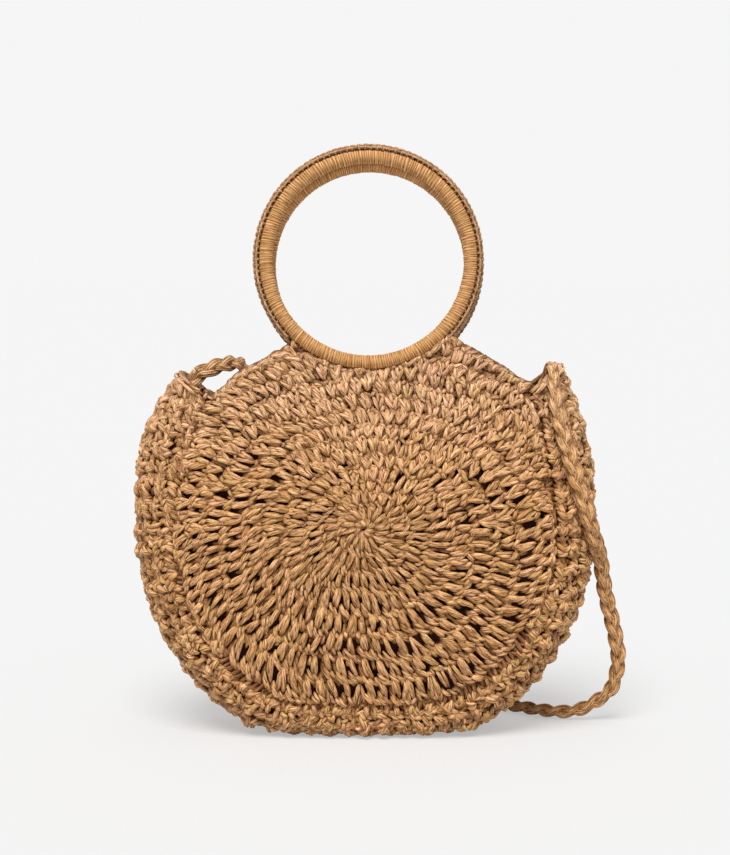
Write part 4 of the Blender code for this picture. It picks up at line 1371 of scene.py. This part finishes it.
def wind_ring(name, side):
    """The whole winding as one tube that closes on itself."""
    centre, up, outward = ring_axes(side)
    turns = round(2 * math.pi * RING_REACH / TURN_PITCH)
    widths = np.clip(rng.normal(1.0, WIDTH_PLAY, turns), *TURN_WIDTHS)
    edges = np.concatenate([[0], np.cumsum(widths)]) / widths.sum()
    steps = turns * RINGS_PER_TURN
    marks = np.arange(steps) / RINGS_PER_TURN
    around = 2 * math.pi * np.interp(marks, np.arange(turns + 1), edges)
    tube = np.arange(TUBE_SIDES) * 2 * math.pi / TUBE_SIDES
    radial = radial_from(around, up)
    phase = marks[:, None] + tube[None] / (2 * math.pi)
    turn_index = np.floor(phase).astype(int) % turns
    ridge = np.abs(np.sin(math.pi * phase)) ** RIDGE_POWER
    stand = TURN_HEIGHT * widths**0.5 + HEIGHT_PLAY * rng.normal(0, 1, turns)
    swell = stand[turn_index] * ridge - TURN_BASE
    wide = WINDING_REACH + (WINDING_RADIUS + swell) * np.cos(tube)[None]
    high = (WINDING_DEPTH + swell) * np.sin(tube)[None]
    points = centre + radial[:, None] * wide[..., None] + outward[None, None] * high[..., None]
    girth = 2 * math.pi * WRAP_REACH
    faces, corners = [], []
    for i in range(steps):
        j = (i + 1) % steps
        for s in range(TUBE_SIDES):
            t = (s + 1) % TUBE_SIDES
            here, there = i * TUBE_SIDES, j * TUBE_SIDES
            faces.append([here + s, there + s, there + t, here + t])
            u0, u1 = s / TUBE_SIDES * girth, (s + 1) / TUBE_SIDES * girth
            v0, v1 = i / RINGS_PER_TURN, (i + 1) / RINGS_PER_TURN
            corners.extend([(u0, v0), (u0, v1), (u1, v1), (u1, v0)])
    tones = np.clip(TURN_TONE + TONE_PLAY * rng.normal(0, 1, turns), 0, 1)[turn_index]
    # Painted shade in the grooves between the turns.
    shade_depths = GROOVE_SHADE + RIDGE_SHADE * ridge
    points = points.reshape(-1, 3)
    return make_piece(name, points, faces, np.array(corners), tones, shade_depths, wrap_straw)


print("the winding takes", round(2 * math.pi * RING_REACH / TURN_PITCH), "turns")

# %% Chain round the ring
CHAIN_PITCH = 4.05 * MM
CHAIN_START = math.radians(46)
CHAIN_RISE, CHAIN_PLAY, CHAIN_FLATNESS = 2.5 * MM, 0.04, 0.9
CHAIN_RADIUS_PLAY = 0.05
# Painted shade: each kind of chain strand gets a made-up lift that sets only its shade, so the core
# is dark, the posts half dark and the rest light.
CHAIN_SHADE_LIFTS = {"core": -0.2, "front post": 1.0, "back post": 1.0}
TOP_SHADE_LIFT = 2.2
CHAIN_STITCH = {
    "front leg": cell(
        (-0.12, 0.1, 0.35, 0.65, 0.9, 1.14), (0.5, 0.9, 1.1, 1.1, 0.9, 0.5),
        (2.7, 3.0, 3.1, 3.1, 3.0, 2.7), 0.85,
    ),
    "back leg": cell(
        (-0.12, 0.1, 0.35, 0.65, 0.9, 1.14), (0.5, 0.9, 1.1, 1.1, 0.9, 0.5),
        (-3.8, -4.1, -4.3, -4.3, -4.1, -3.8), 0.85,
    ),
    "crest": cell(
        (0.4, 0.62, 0.86, 1.1, 1.34, 1.56), (2.1, 2.6, 2.8, 2.8, 2.6, 2.1),
        (0.6, 0.4, 0.0, 0.0, -0.4, -0.6), 0.85,
    ),
    "core": cell((-0.1, 0.14, 0.38, 0.62, 0.86, 1.1), (0.6, 0.6), (0.0, 0.0), 1.75),
    "front post": cell(
        (0.02, 0.02, 0.0, -0.02, -0.04, -0.06), (-0.8, 0.1, 0.8, 1.5, 2.1, 2.6),
        (3.2, 3.0, 2.7, 2.2, 1.4, 0.5), 1.0,
    ),
    "back post": cell(
        (0.02, 0.02, 0.0, -0.02, -0.04, -0.06), (-0.8, 0.1, 0.8, 1.5, 2.1, 2.6),
        (-4.0, -4.1, -3.8, -3.0, -1.8, -0.6), 1.0,
    ),
}


def ring_chain(name, side):
    """The chain's strands: `out` is the way from the ring's centre, `aside` from its plane."""
    centre, up, outward = ring_axes(side)
    span = 2 * math.pi - 2 * CHAIN_START
    count = round(span * (GRIP_REACH + CHAIN_RISE) / CHAIN_PITCH)
    strands = []
    for kind, (along, out, aside, radius) in CHAIN_STITCH.items():
        places = np.arange(count)[:, None] + rng.normal(0, CHAIN_PLAY, (count, 1)) + along[None]
        radial = radial_from(CHAIN_START + places * span / count, up)
        reach, lift = GRIP_REACH + out * MM, aside * MM
        centres = centre + radial * reach[:, None] + outward * lift[:, None]
        normals = unit(outward * np.sign(aside[2] + TINY) + radial)
        # Painted shade, set by the made-up lift of each kind of strand.
        shade_depths = np.full_like(places, CHAIN_SHADE_LIFTS.get(kind, TOP_SHADE_LIFT) * MM)
        radii = np.full(count, radius * MM) * rng.normal(1, CHAIN_RADIUS_PLAY, count)
        strands.append((centres, normals, shade_depths, radii))
    return lay_strands(name, strands, crochet_straw, flatness=CHAIN_FLATNESS)


for side, label in SIDES:
    winding = wind_ring(label + "_ring_winding", side)
    chain = ring_chain(label + "_ring_chain", side)
    for piece, node in ((winding, "_ring_wrap"), (chain, "_ring_edging")):
        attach(piece, label + "_handle")
        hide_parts(label + node)

# %% [markdown]
# ## The lining
#
# Through the open stitches the bag looks nearly black, and a dark cotton
# lining hangs inside. It is cut in three: a round for each wall and a strip
# for the gusset. Each is a flat grid whose vertices go to their places just
# inside the crochet, and Solidify gives it the thickness of cloth. The weave is
# two crossed waves on the cloth's own UV map, which is in metres.

# %% Cloth
CLOTH = 0.45 * MM
THREAD = 0.7 * MM
BANDS_PER_SCALE, WEAVE_PLAY, THREAD_SHADE = 0.314, 0.8, 0.55
WEAVE_RELIEF, WEAVE_DISTANCE = 0.4, 0.2 * MM
CLOTH_ROUGHNESS, CLOTH_SHEEN = 0.92, 0.2


def cloth_material(name, colour, thread):
    """A plain weave on the UV map, with a thread every `thread` metres."""
    made, nodes, links, shader = new_material(name)
    place = nodes.new("ShaderNodeUVMap")
    place.uv_map = "UVMap"
    weave = nodes.new("ShaderNodeMath")
    weave.operation = "MULTIPLY"
    for i, axis in enumerate(("X", "Y")):
        values = {"Scale": BANDS_PER_SCALE / thread, "Distortion": WEAVE_PLAY}
        wave = add_node(nodes, "ShaderNodeTexWave", values)
        wave.bands_direction = axis
        links.new(place.outputs["UV"], wave.inputs["Vector"])
        links.new(wave.outputs["Fac"], weave.inputs[i])
    tint = ramp_node(nodes, [(0.0, tuple(THREAD_SHADE * c for c in colour)), (1.0, colour)])
    links.new(weave.outputs["Value"], tint.inputs["Fac"])
    links.new(tint.outputs["Color"], shader.inputs["Base Color"])
    add_relief(nodes, links, weave.outputs["Value"], WEAVE_RELIEF, WEAVE_DISTANCE, shader)
    shader.inputs["Roughness"].default_value = CLOTH_ROUGHNESS
    shader.inputs["Specular IOR Level"].default_value = CLOTH_SHEEN
    return made


lining_cotton = cloth_material("brown lining cotton", (0.17, 0.055, 0.038), THREAD)
stitch_thread = cloth_material("brown sewing thread", (0.26, 0.105, 0.070), 0.5 * THREAD)
print("cloth finishes:", lining_cotton.name, stitch_thread.name)

# %% Cut a cloth
WELD_DISTANCE, SHARP_ANGLE = 0.05 * MM, math.radians(50)


def cut_cloth(name, place, size, cells):
    """A closed sheet of cloth. place(u, v) says where each point of the cut goes."""
    bpy.ops.object.select_all(action="DESELECT")
    bpy.ops.mesh.primitive_grid_add(x_subdivisions=cells[0], y_subdivisions=cells[1], size=1.0)
    cloth = bpy.context.object
    cloth.name = name
    mesh = cloth.data
    shares = np.array([v.co[:2] for v in mesh.vertices]) + 0.5
    mesh.vertices.foreach_set("co", place(shares[:, 0], shares[:, 1]).ravel())
    corners = np.array([loop.uv[:] for loop in mesh.uv_layers[0].data]) * np.array(size)
    mesh.uv_layers[0].data.foreach_set("uv", corners.ravel())
    mesh.uv_layers[0].name = "UVMap"
    bpy.ops.object.mode_set(mode="EDIT")
    bpy.ops.mesh.select_all(action="SELECT")
    bpy.ops.mesh.remove_doubles(threshold=WELD_DISTANCE)
    bpy.ops.mesh.normals_make_consistent(inside=False)
    bpy.ops.object.mode_set(mode="OBJECT")
    wall = cloth.modifiers.new("thickness of the cloth", "SOLIDIFY")
    wall.thickness = CLOTH
    wall.offset = 0.0
    bpy.ops.object.modifier_apply(modifier=wall.name)
    bpy.ops.object.shade_smooth_by_angle(angle=SHARP_ANGLE)
    mesh.materials.append(lining_cotton)
    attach(cloth, "bag")
    area = sum(p.area for p in mesh.polygons) / 2
    print(name, "has", len(mesh.polygons) * 2, "triangles and", round(area, 4), "m2 of cloth")
    return cloth


print("cloth will be", CLOTH, "m thick")

# %% Lining of the walls
LINING_TOP = 73 * MM
LINING_LIFT = -4.5 * MM
LINING_INSET, HEM_HEIGHT = 0.6 * MM, 9 * MM
FOLD_DEEP, FOLD_MIDDLE, FOLD_SWING = 2.2 * MM, 0.55, 0.45
TOP_SHARE = 1 / 3
LEAST_SINE = 0.3
POCKET_WIDTH, POCKET_BASE, POCKET_TOP = 110 * MM, 90 * MM, 170 * MM
SNAP_PLACE, SNAP_SPACE = (0.0, 194.5 * MM), 14 * MM
edge_angles = np.linspace(0, EAR_ANGLE, 200)
edge_heights = seam_reach(edge_angles) * np.sin(edge_angles)
LINING_END = float(np.interp(LINING_TOP, edge_heights, edge_angles))


def lining_half_width(z):
    """Half the width of a wall's lining at a height."""
    half_widths = seam_reach(edge_angles) * np.cos(edge_angles)
    return np.interp(z - CENTRE, edge_heights, half_widths) - LINING_INSET


def wall_folds(x, z, side):
    """How far the cloth hangs in from its wall: soft folds, none under snap and pocket."""
    fold = FOLD_MIDDLE + FOLD_SWING * np.sin(x / (9 * MM) + 1.4 * np.sin(z / (38 * MM)) + side)
    clear = step_up(np.hypot(x - SNAP_PLACE[0], z - SNAP_PLACE[1]), SNAP_SPACE, 2.2 * SNAP_SPACE)
    if side == BACK:
        beside = np.maximum(np.abs(x) - POCKET_WIDTH / 2, np.abs(z - 130 * MM) - 40 * MM)
        clear = clear * step_up(beside, 1 * MM, 14 * MM)
    below_hem = step_up(CENTRE + LINING_TOP - z, 8 * MM, 26 * MM)
    off_seam = step_up(lining_half_width(np.maximum(z, CENTRE)) - np.abs(x), 2 * MM, 18 * MM)
    return FOLD_DEEP * fold * clear * below_hem * off_seam


def line_wall(name, side):
    """A fan of cloth from the wall's centre, with a third of its edge along the top."""
    def place(u, v):
        turn = np.where(
            u < TOP_SHARE,
            LINING_END + (math.pi - 2 * LINING_END) * u / TOP_SHARE,
            math.pi - LINING_END + (math.pi + 2 * LINING_END) * (u - TOP_SHARE) / (1 - TOP_SHARE),
        )
        turn = seen_angle(turn, FRONT)
        rise = np.sin(turn)
        reach = seam_reach(turn) - LINING_INSET
        level = np.minimum(reach, LINING_TOP / np.maximum(rise, LEAST_SINE))
        reach = np.where(rise > LEAST_SINE, level, reach)
        x, z = v * reach * np.cos(turn), CENTRE + v * reach * rise
        return wall_place(x, z, side, LINING_LIFT - wall_folds(x, z, side))[0]

    return cut_cloth(name, place, (0.75, 0.12), (144, 30))


def hem_wall(name, side):
    """A strip of cloth inside the top of a wall's lining."""
    def place(u, v):
        z = CENTRE + LINING_TOP - HEM_HEIGHT * (1 - v)
        x = (2 * u - 1) * lining_half_width(z)
        return wall_place(x, z, side, np.full_like(u, LINING_LIFT - CLOTH))[0]

    return cut_cloth(name, place, (0.232, HEM_HEIGHT), (64, 3))


lining_front = line_wall("lining_cloth_front", FRONT)
lining_back = line_wall("lining_cloth_back", BACK)
front_hem = hem_wall("lining_hem_front", FRONT)
back_hem = hem_wall("lining_hem_back", BACK)

# %% Lining of the gusset
SIDE_LINING_INSET = 7.1 * MM
SIDE_LINING_LENGTH = 0.60
PUCKERS, PUCKER_DEEP = 47, 1.6 * MM


def side_lining_place(along, across, inset):
    """Points on the strip. along goes from the right end round the base, across from -1 to 1."""
    turn = LINING_END - (math.pi + 2 * LINING_END) * along
    base = seam_reach(turn)
    rise = gusset_reach(turn) - inset - base
    half = seam_depth(turn) + WALL / 2 - inset
    power = bulge_power(turn)
    lean = across * np.arccos((0.2 * MM / rise) ** (1 / power))
    y = np.sign(lean) * half * np.abs(np.sin(lean)) ** power
    reach = base + rise * np.cos(lean) ** power
    return np.stack([reach * np.cos(turn), y, CENTRE + reach * np.sin(turn)], axis=-1)


def line_gusset(u, v):
    """The strip puckers along its middle and lies flat at its edges and ends."""
    across = 2 * v - 1
    pucker = 0.5 + 0.5 * np.sin(u * PUCKERS + 1.2 * np.sin(3 * across))
    ends = step_up(np.minimum(u, 1 - u), 0.02, 0.06) * (1 - across**2)
    return side_lining_place(u, across, SIDE_LINING_INSET + PUCKER_DEEP * pucker * ends)


def hem_gusset(end):
    """A hem at the strip's right end, 0, or its left end, 1."""
    def place(u, v):
        along = (1 - v) * HEM_HEIGHT / SIDE_LINING_LENGTH
        return side_lining_place(1 - along if end else along, 2 * u - 1, SIDE_LINING_INSET + CLOTH)

    return place


lining_side = cut_cloth("lining_cloth_side", line_gusset, (SIDE_LINING_LENGTH, 0.08), (150, 16))
right_hem = cut_cloth("lining_hem_right", hem_gusset(0), (0.06, HEM_HEIGHT), (24, 3))
left_hem = cut_cloth("lining_hem_left", hem_gusset(1), (0.06, HEM_HEIGHT), (24, 3))

# %% Pocket
POCKET_LIFT = -5.5 * MM
POCKET_GAPE, POCKET_HEM = 1.5 * MM, 0.09


def pocket_place(u, v, lift=0.0):
    """Points on the pocket, which gapes a little at its top."""
    gape = POCKET_GAPE * v**4 * (1 - (2 * u - 1) ** 2)
    x, z = (u - 0.5) * POCKET_WIDTH, POCKET_BASE + v * (POCKET_TOP - POCKET_BASE)
    return wall_place(x, z, BACK, POCKET_LIFT - gape + lift)


def pocket_hem_place(u, v):
    """The hem lies inside the top of the pocket."""
    return pocket_place(u, 1 - POCKET_HEM * (1 - v), -CLOTH)[0]


pocket = cut_cloth("pocket_cloth", lambda u, v: pocket_place(u, v)[0], (0.11, 0.08), (30, 20))
pocket_hem = cut_cloth("pocket_hem", pocket_hem_place, (0.11, 0.007), (30, 2))

# %% Sewing
SEWN_PITCH = 3.4 * MM
SEWN_RISE = np.array([-0.5, 0.0, 0.10, 0.10, 0.0, -0.5]) * MM
SEWN_SPAN, SEWN_LIFT, THREAD_RADIUS = (0.08, 0.92), 3 * MM, 0.34 * MM
HEM_LINE, HEM_SIDE = 6.5 * MM, 2 * MM
POCKET_BASE_LINE, POCKET_TOP_LINE = 0.03, 0.93


def sewn_line(place, length):
    """Stitches of thread along a line on the cloth. place(share) gives points and normals."""
    count = round(length / SEWN_PITCH)
    share = (np.arange(count)[:, None] + np.linspace(*SEWN_SPAN, len(SPAN))[None]) / count
    points, normals = place(share)
    points = points - normals * (SEWN_RISE[None, :, None] + 0.5 * CLOTH)
    return points, -normals, np.full(share.shape, SEWN_LIFT), np.full(count, THREAD_RADIUS)


def wall_line(side):
    """The stitches that hold a wall's hem."""
    z = CENTRE + LINING_TOP - HEM_LINE
    half = float(lining_half_width(z)) - HEM_SIDE

    def place(share):
        height, lift = np.full_like(share, z), np.full_like(share, LINING_LIFT - CLOTH)
        return wall_place((2 * share - 1) * half, height, side, lift)

    return sewn_line(place, 2 * half)


def pocket_side(share, across):
    """A line up the pocket."""
    return pocket_place(np.full_like(share, across), share)


def pocket_row(share, up, lift=0.0):
    """A line across the pocket."""
    return pocket_place(share, np.full_like(share, up), lift)


pocket_edge = 2.2 * MM / POCKET_WIDTH
pocket_height = POCKET_TOP - POCKET_BASE
sewn = [
    wall_line(FRONT),
    wall_line(BACK),
    sewn_line(lambda share: pocket_side(share, pocket_edge), pocket_height),
    sewn_line(lambda share: pocket_side(share, 1 - pocket_edge), pocket_height),
    sewn_line(lambda share: pocket_row(share, POCKET_BASE_LINE), POCKET_WIDTH),
    sewn_line(lambda share: pocket_row(share, POCKET_TOP_LINE, -CLOTH), POCKET_WIDTH),
]
lining_stitches = lay_strands("lining_stitches", sewn, stitch_thread)
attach(lining_stitches, "bag")
for cloth, node, flat, area, sewn_on in (
    (lining_front, "lining_front", (0.25, 0.19), 0.040, [front_hem, lining_stitches]),
    (lining_back, "lining_back", (0.25, 0.19), 0.040, [back_hem]),
    (lining_side, "lining_side", (0.09, 0.62), 0.047, [right_hem, left_hem]),
    (pocket, "slip_pocket", (0.11, 0.08), None, [pocket_hem]),
):
    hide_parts(node)

# %% [markdown]
# ## Snap and hoops
#
# The snap is brushed metal. Its four CAD parts only need a finish. The hoops
# inside the windings are plain wood, and each is a torus made here, because
# the winding follows the photograph a little more closely than the CAD does.

# %% Snap and hoop finishes
def noisy_material(name, low, high, scale, stretch, roughness, metallic):
    """A finish whose colour wanders between two tones on Object coordinates."""
    made, nodes, links, shader = new_material(name)
    place = nodes.new("ShaderNodeTexCoord")
    mapping = add_node(nodes, "ShaderNodeMapping", {"Scale": stretch})
    noise = add_node(nodes, "ShaderNodeTexNoise", {"Scale": scale, "Detail": 4.0})
    links.new(place.outputs["Object"], mapping.inputs["Vector"])
    links.new(mapping.outputs["Vector"], noise.inputs["Vector"])
    tint = ramp_node(nodes, [(0.3, low), (0.7, high)])
    links.new(noise.outputs["Fac"], tint.inputs["Fac"])
    links.new(tint.outputs["Color"], shader.inputs["Base Color"])
    shader.inputs["Roughness"].default_value = roughness
    shader.inputs["Metallic"].default_value = metallic
    return made


snap_metal = noisy_material(
    "snap metal", (0.42, 0.37, 0.28), (0.58, 0.53, 0.43), 400.0, (1.0, 1.0, 0.1), 0.32, 1.0
)
hoop_wood = noisy_material(
    "hoop wood", (0.34, 0.21, 0.11), (0.50, 0.33, 0.18), 120.0, (1.0, 1.0, 0.2), 0.6, 0.0
)
SNAP_PARTS = ("snap_socket", "snap_stud", "snap_washer_front", "snap_washer_back")
for name in SNAP_PARTS:
    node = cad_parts[name]
    node.data.materials.clear()
    node.data.materials.append(snap_metal)
print("CAD parts with a new finish:", len(SNAP_PARTS))

# %% Hoops
HOOP_RADIUS = 3.4 * MM

for side, label in SIDES:
    bpy.ops.mesh.primitive_torus_add(
        major_segments=96,
        minor_segments=12,
        major_radius=WINDING_REACH,
        minor_radius=HOOP_RADIUS,
        location=ring_axes(side)[0],
        rotation=(-side * (math.pi / 2 - RING_LEAN), 0, 0),
    )
    bpy.ops.object.transform_apply(location=True, rotation=True, scale=True)
    bpy.ops.object.shade_smooth()
    hoop = bpy.context.active_object
    hoop.name = label + "_ring_hoop"
    hoop.data.materials.append(hoop_wood)
    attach(hoop, label + "_handle")
    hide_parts(label + "_ring_core")
    print(hoop.name, "made")

# %% [markdown]
# ## Studio
#
# The photograph has an even, nearly white ground that runs into the backdrop
# with no line. One plane and a plain world give this: the world lights
# everything evenly and shows the same pale grey where the floor ends, and one
# large soft sun, high up and a little left of the camera, models the stitches.

# %% Ground
GROUND_GLOW = 0.412
PAPER_GREY = 0.60
SHADOW_GREY = 0.455
FLOOR_SIZE, FLOOR_PLACE = 60.0, (0, 20, 0)


def grey(level):
    """An opaque grey."""
    return (level, level, level, 1.0)


def seen_rays(nodes, links):
    """1 for what the camera sees, directly, in a mirror or through glass, else 0."""
    rays = nodes.new("ShaderNodeLightPath")
    total = rays.outputs["Is Camera Ray"]
    for other in ("Is Glossy Ray", "Is Transmission Ray"):
        adder = nodes.new("ShaderNodeMath")
        adder.operation = "ADD"
        adder.use_clamp = True
        links.new(total, adder.inputs[0])
        links.new(rays.outputs[other], adder.inputs[1])
        total = adder.outputs["Value"]
    return total


bpy.ops.object.select_all(action="DESELECT")
bpy.ops.mesh.primitive_plane_add(size=FLOOR_SIZE, location=FLOOR_PLACE)
floor = bpy.context.object
floor.name = "floor"
paper, nodes, links, shader = new_material("ground paper")
paper_colour = mix_colours(
    nodes, links, "MIX", seen_rays(nodes, links), grey(PAPER_GREY), grey(SHADOW_GREY)
)
links.new(paper_colour, shader.inputs["Base Color"])
shader.inputs["Roughness"].default_value = 1.0
shader.inputs["Specular IOR Level"].default_value = 0.0
shader.inputs["Emission Color"].default_value = grey(1.0)
glow = nodes.new("ShaderNodeMath")
glow.operation = "MULTIPLY"
links.new(seen_rays(nodes, links), glow.inputs[0])
glow.inputs[1].default_value = GROUND_GLOW
links.new(glow.outputs["Value"], shader.inputs["Emission Strength"])
floor.data.materials.append(paper)
print("the ground glows", GROUND_GLOW, "to the camera")

# %% Sun
SUN_STRENGTH, SUN_SIZE = 2.4, math.radians(32)
SUN_FROM, SUN_AIM = Vector((-0.2, -1.0, 1.75)), Vector((0, 0, 0.12))
bpy.ops.object.light_add(type="SUN", location=SUN_FROM)
sun = bpy.context.object
sun.name = "soft_sun"
sun.rotation_euler = (SUN_AIM - SUN_FROM).to_track_quat("-Z", "Y").to_euler()
sun.data.energy = SUN_STRENGTH
sun.data.angle = SUN_SIZE
print("the sun is", round(math.degrees(SUN_SIZE)), "degrees wide")

# %% World
WORLD_LIGHT = 0.58
GROUND_GREY = 0.92
world = bpy.data.worlds.new("studio")
bpy.context.scene.world = world
world.use_nodes = True
nodes, links = world.node_tree.nodes, world.node_tree.links
nodes.clear()
output = nodes.new("ShaderNodeOutputWorld")
lighting = add_node(nodes, "ShaderNodeBackground", {"Strength": WORLD_LIGHT})
backdrop_look = {"Color": grey(GROUND_GREY), "Strength": 1.0}
backdrop = add_node(nodes, "ShaderNodeBackground", backdrop_look)
mixer = nodes.new("ShaderNodeMixShader")
links.new(seen_rays(nodes, links), mixer.inputs["Fac"])
links.new(lighting.outputs["Background"], mixer.inputs[1])
links.new(backdrop.outputs["Background"], mixer.inputs[2])
links.new(mixer.outputs["Shader"], output.inputs["Surface"])
bpy.context.scene.view_settings.view_transform = "Standard"
print("studio is lit by a world of", WORLD_LIGHT, "and a sun of", SUN_STRENGTH)
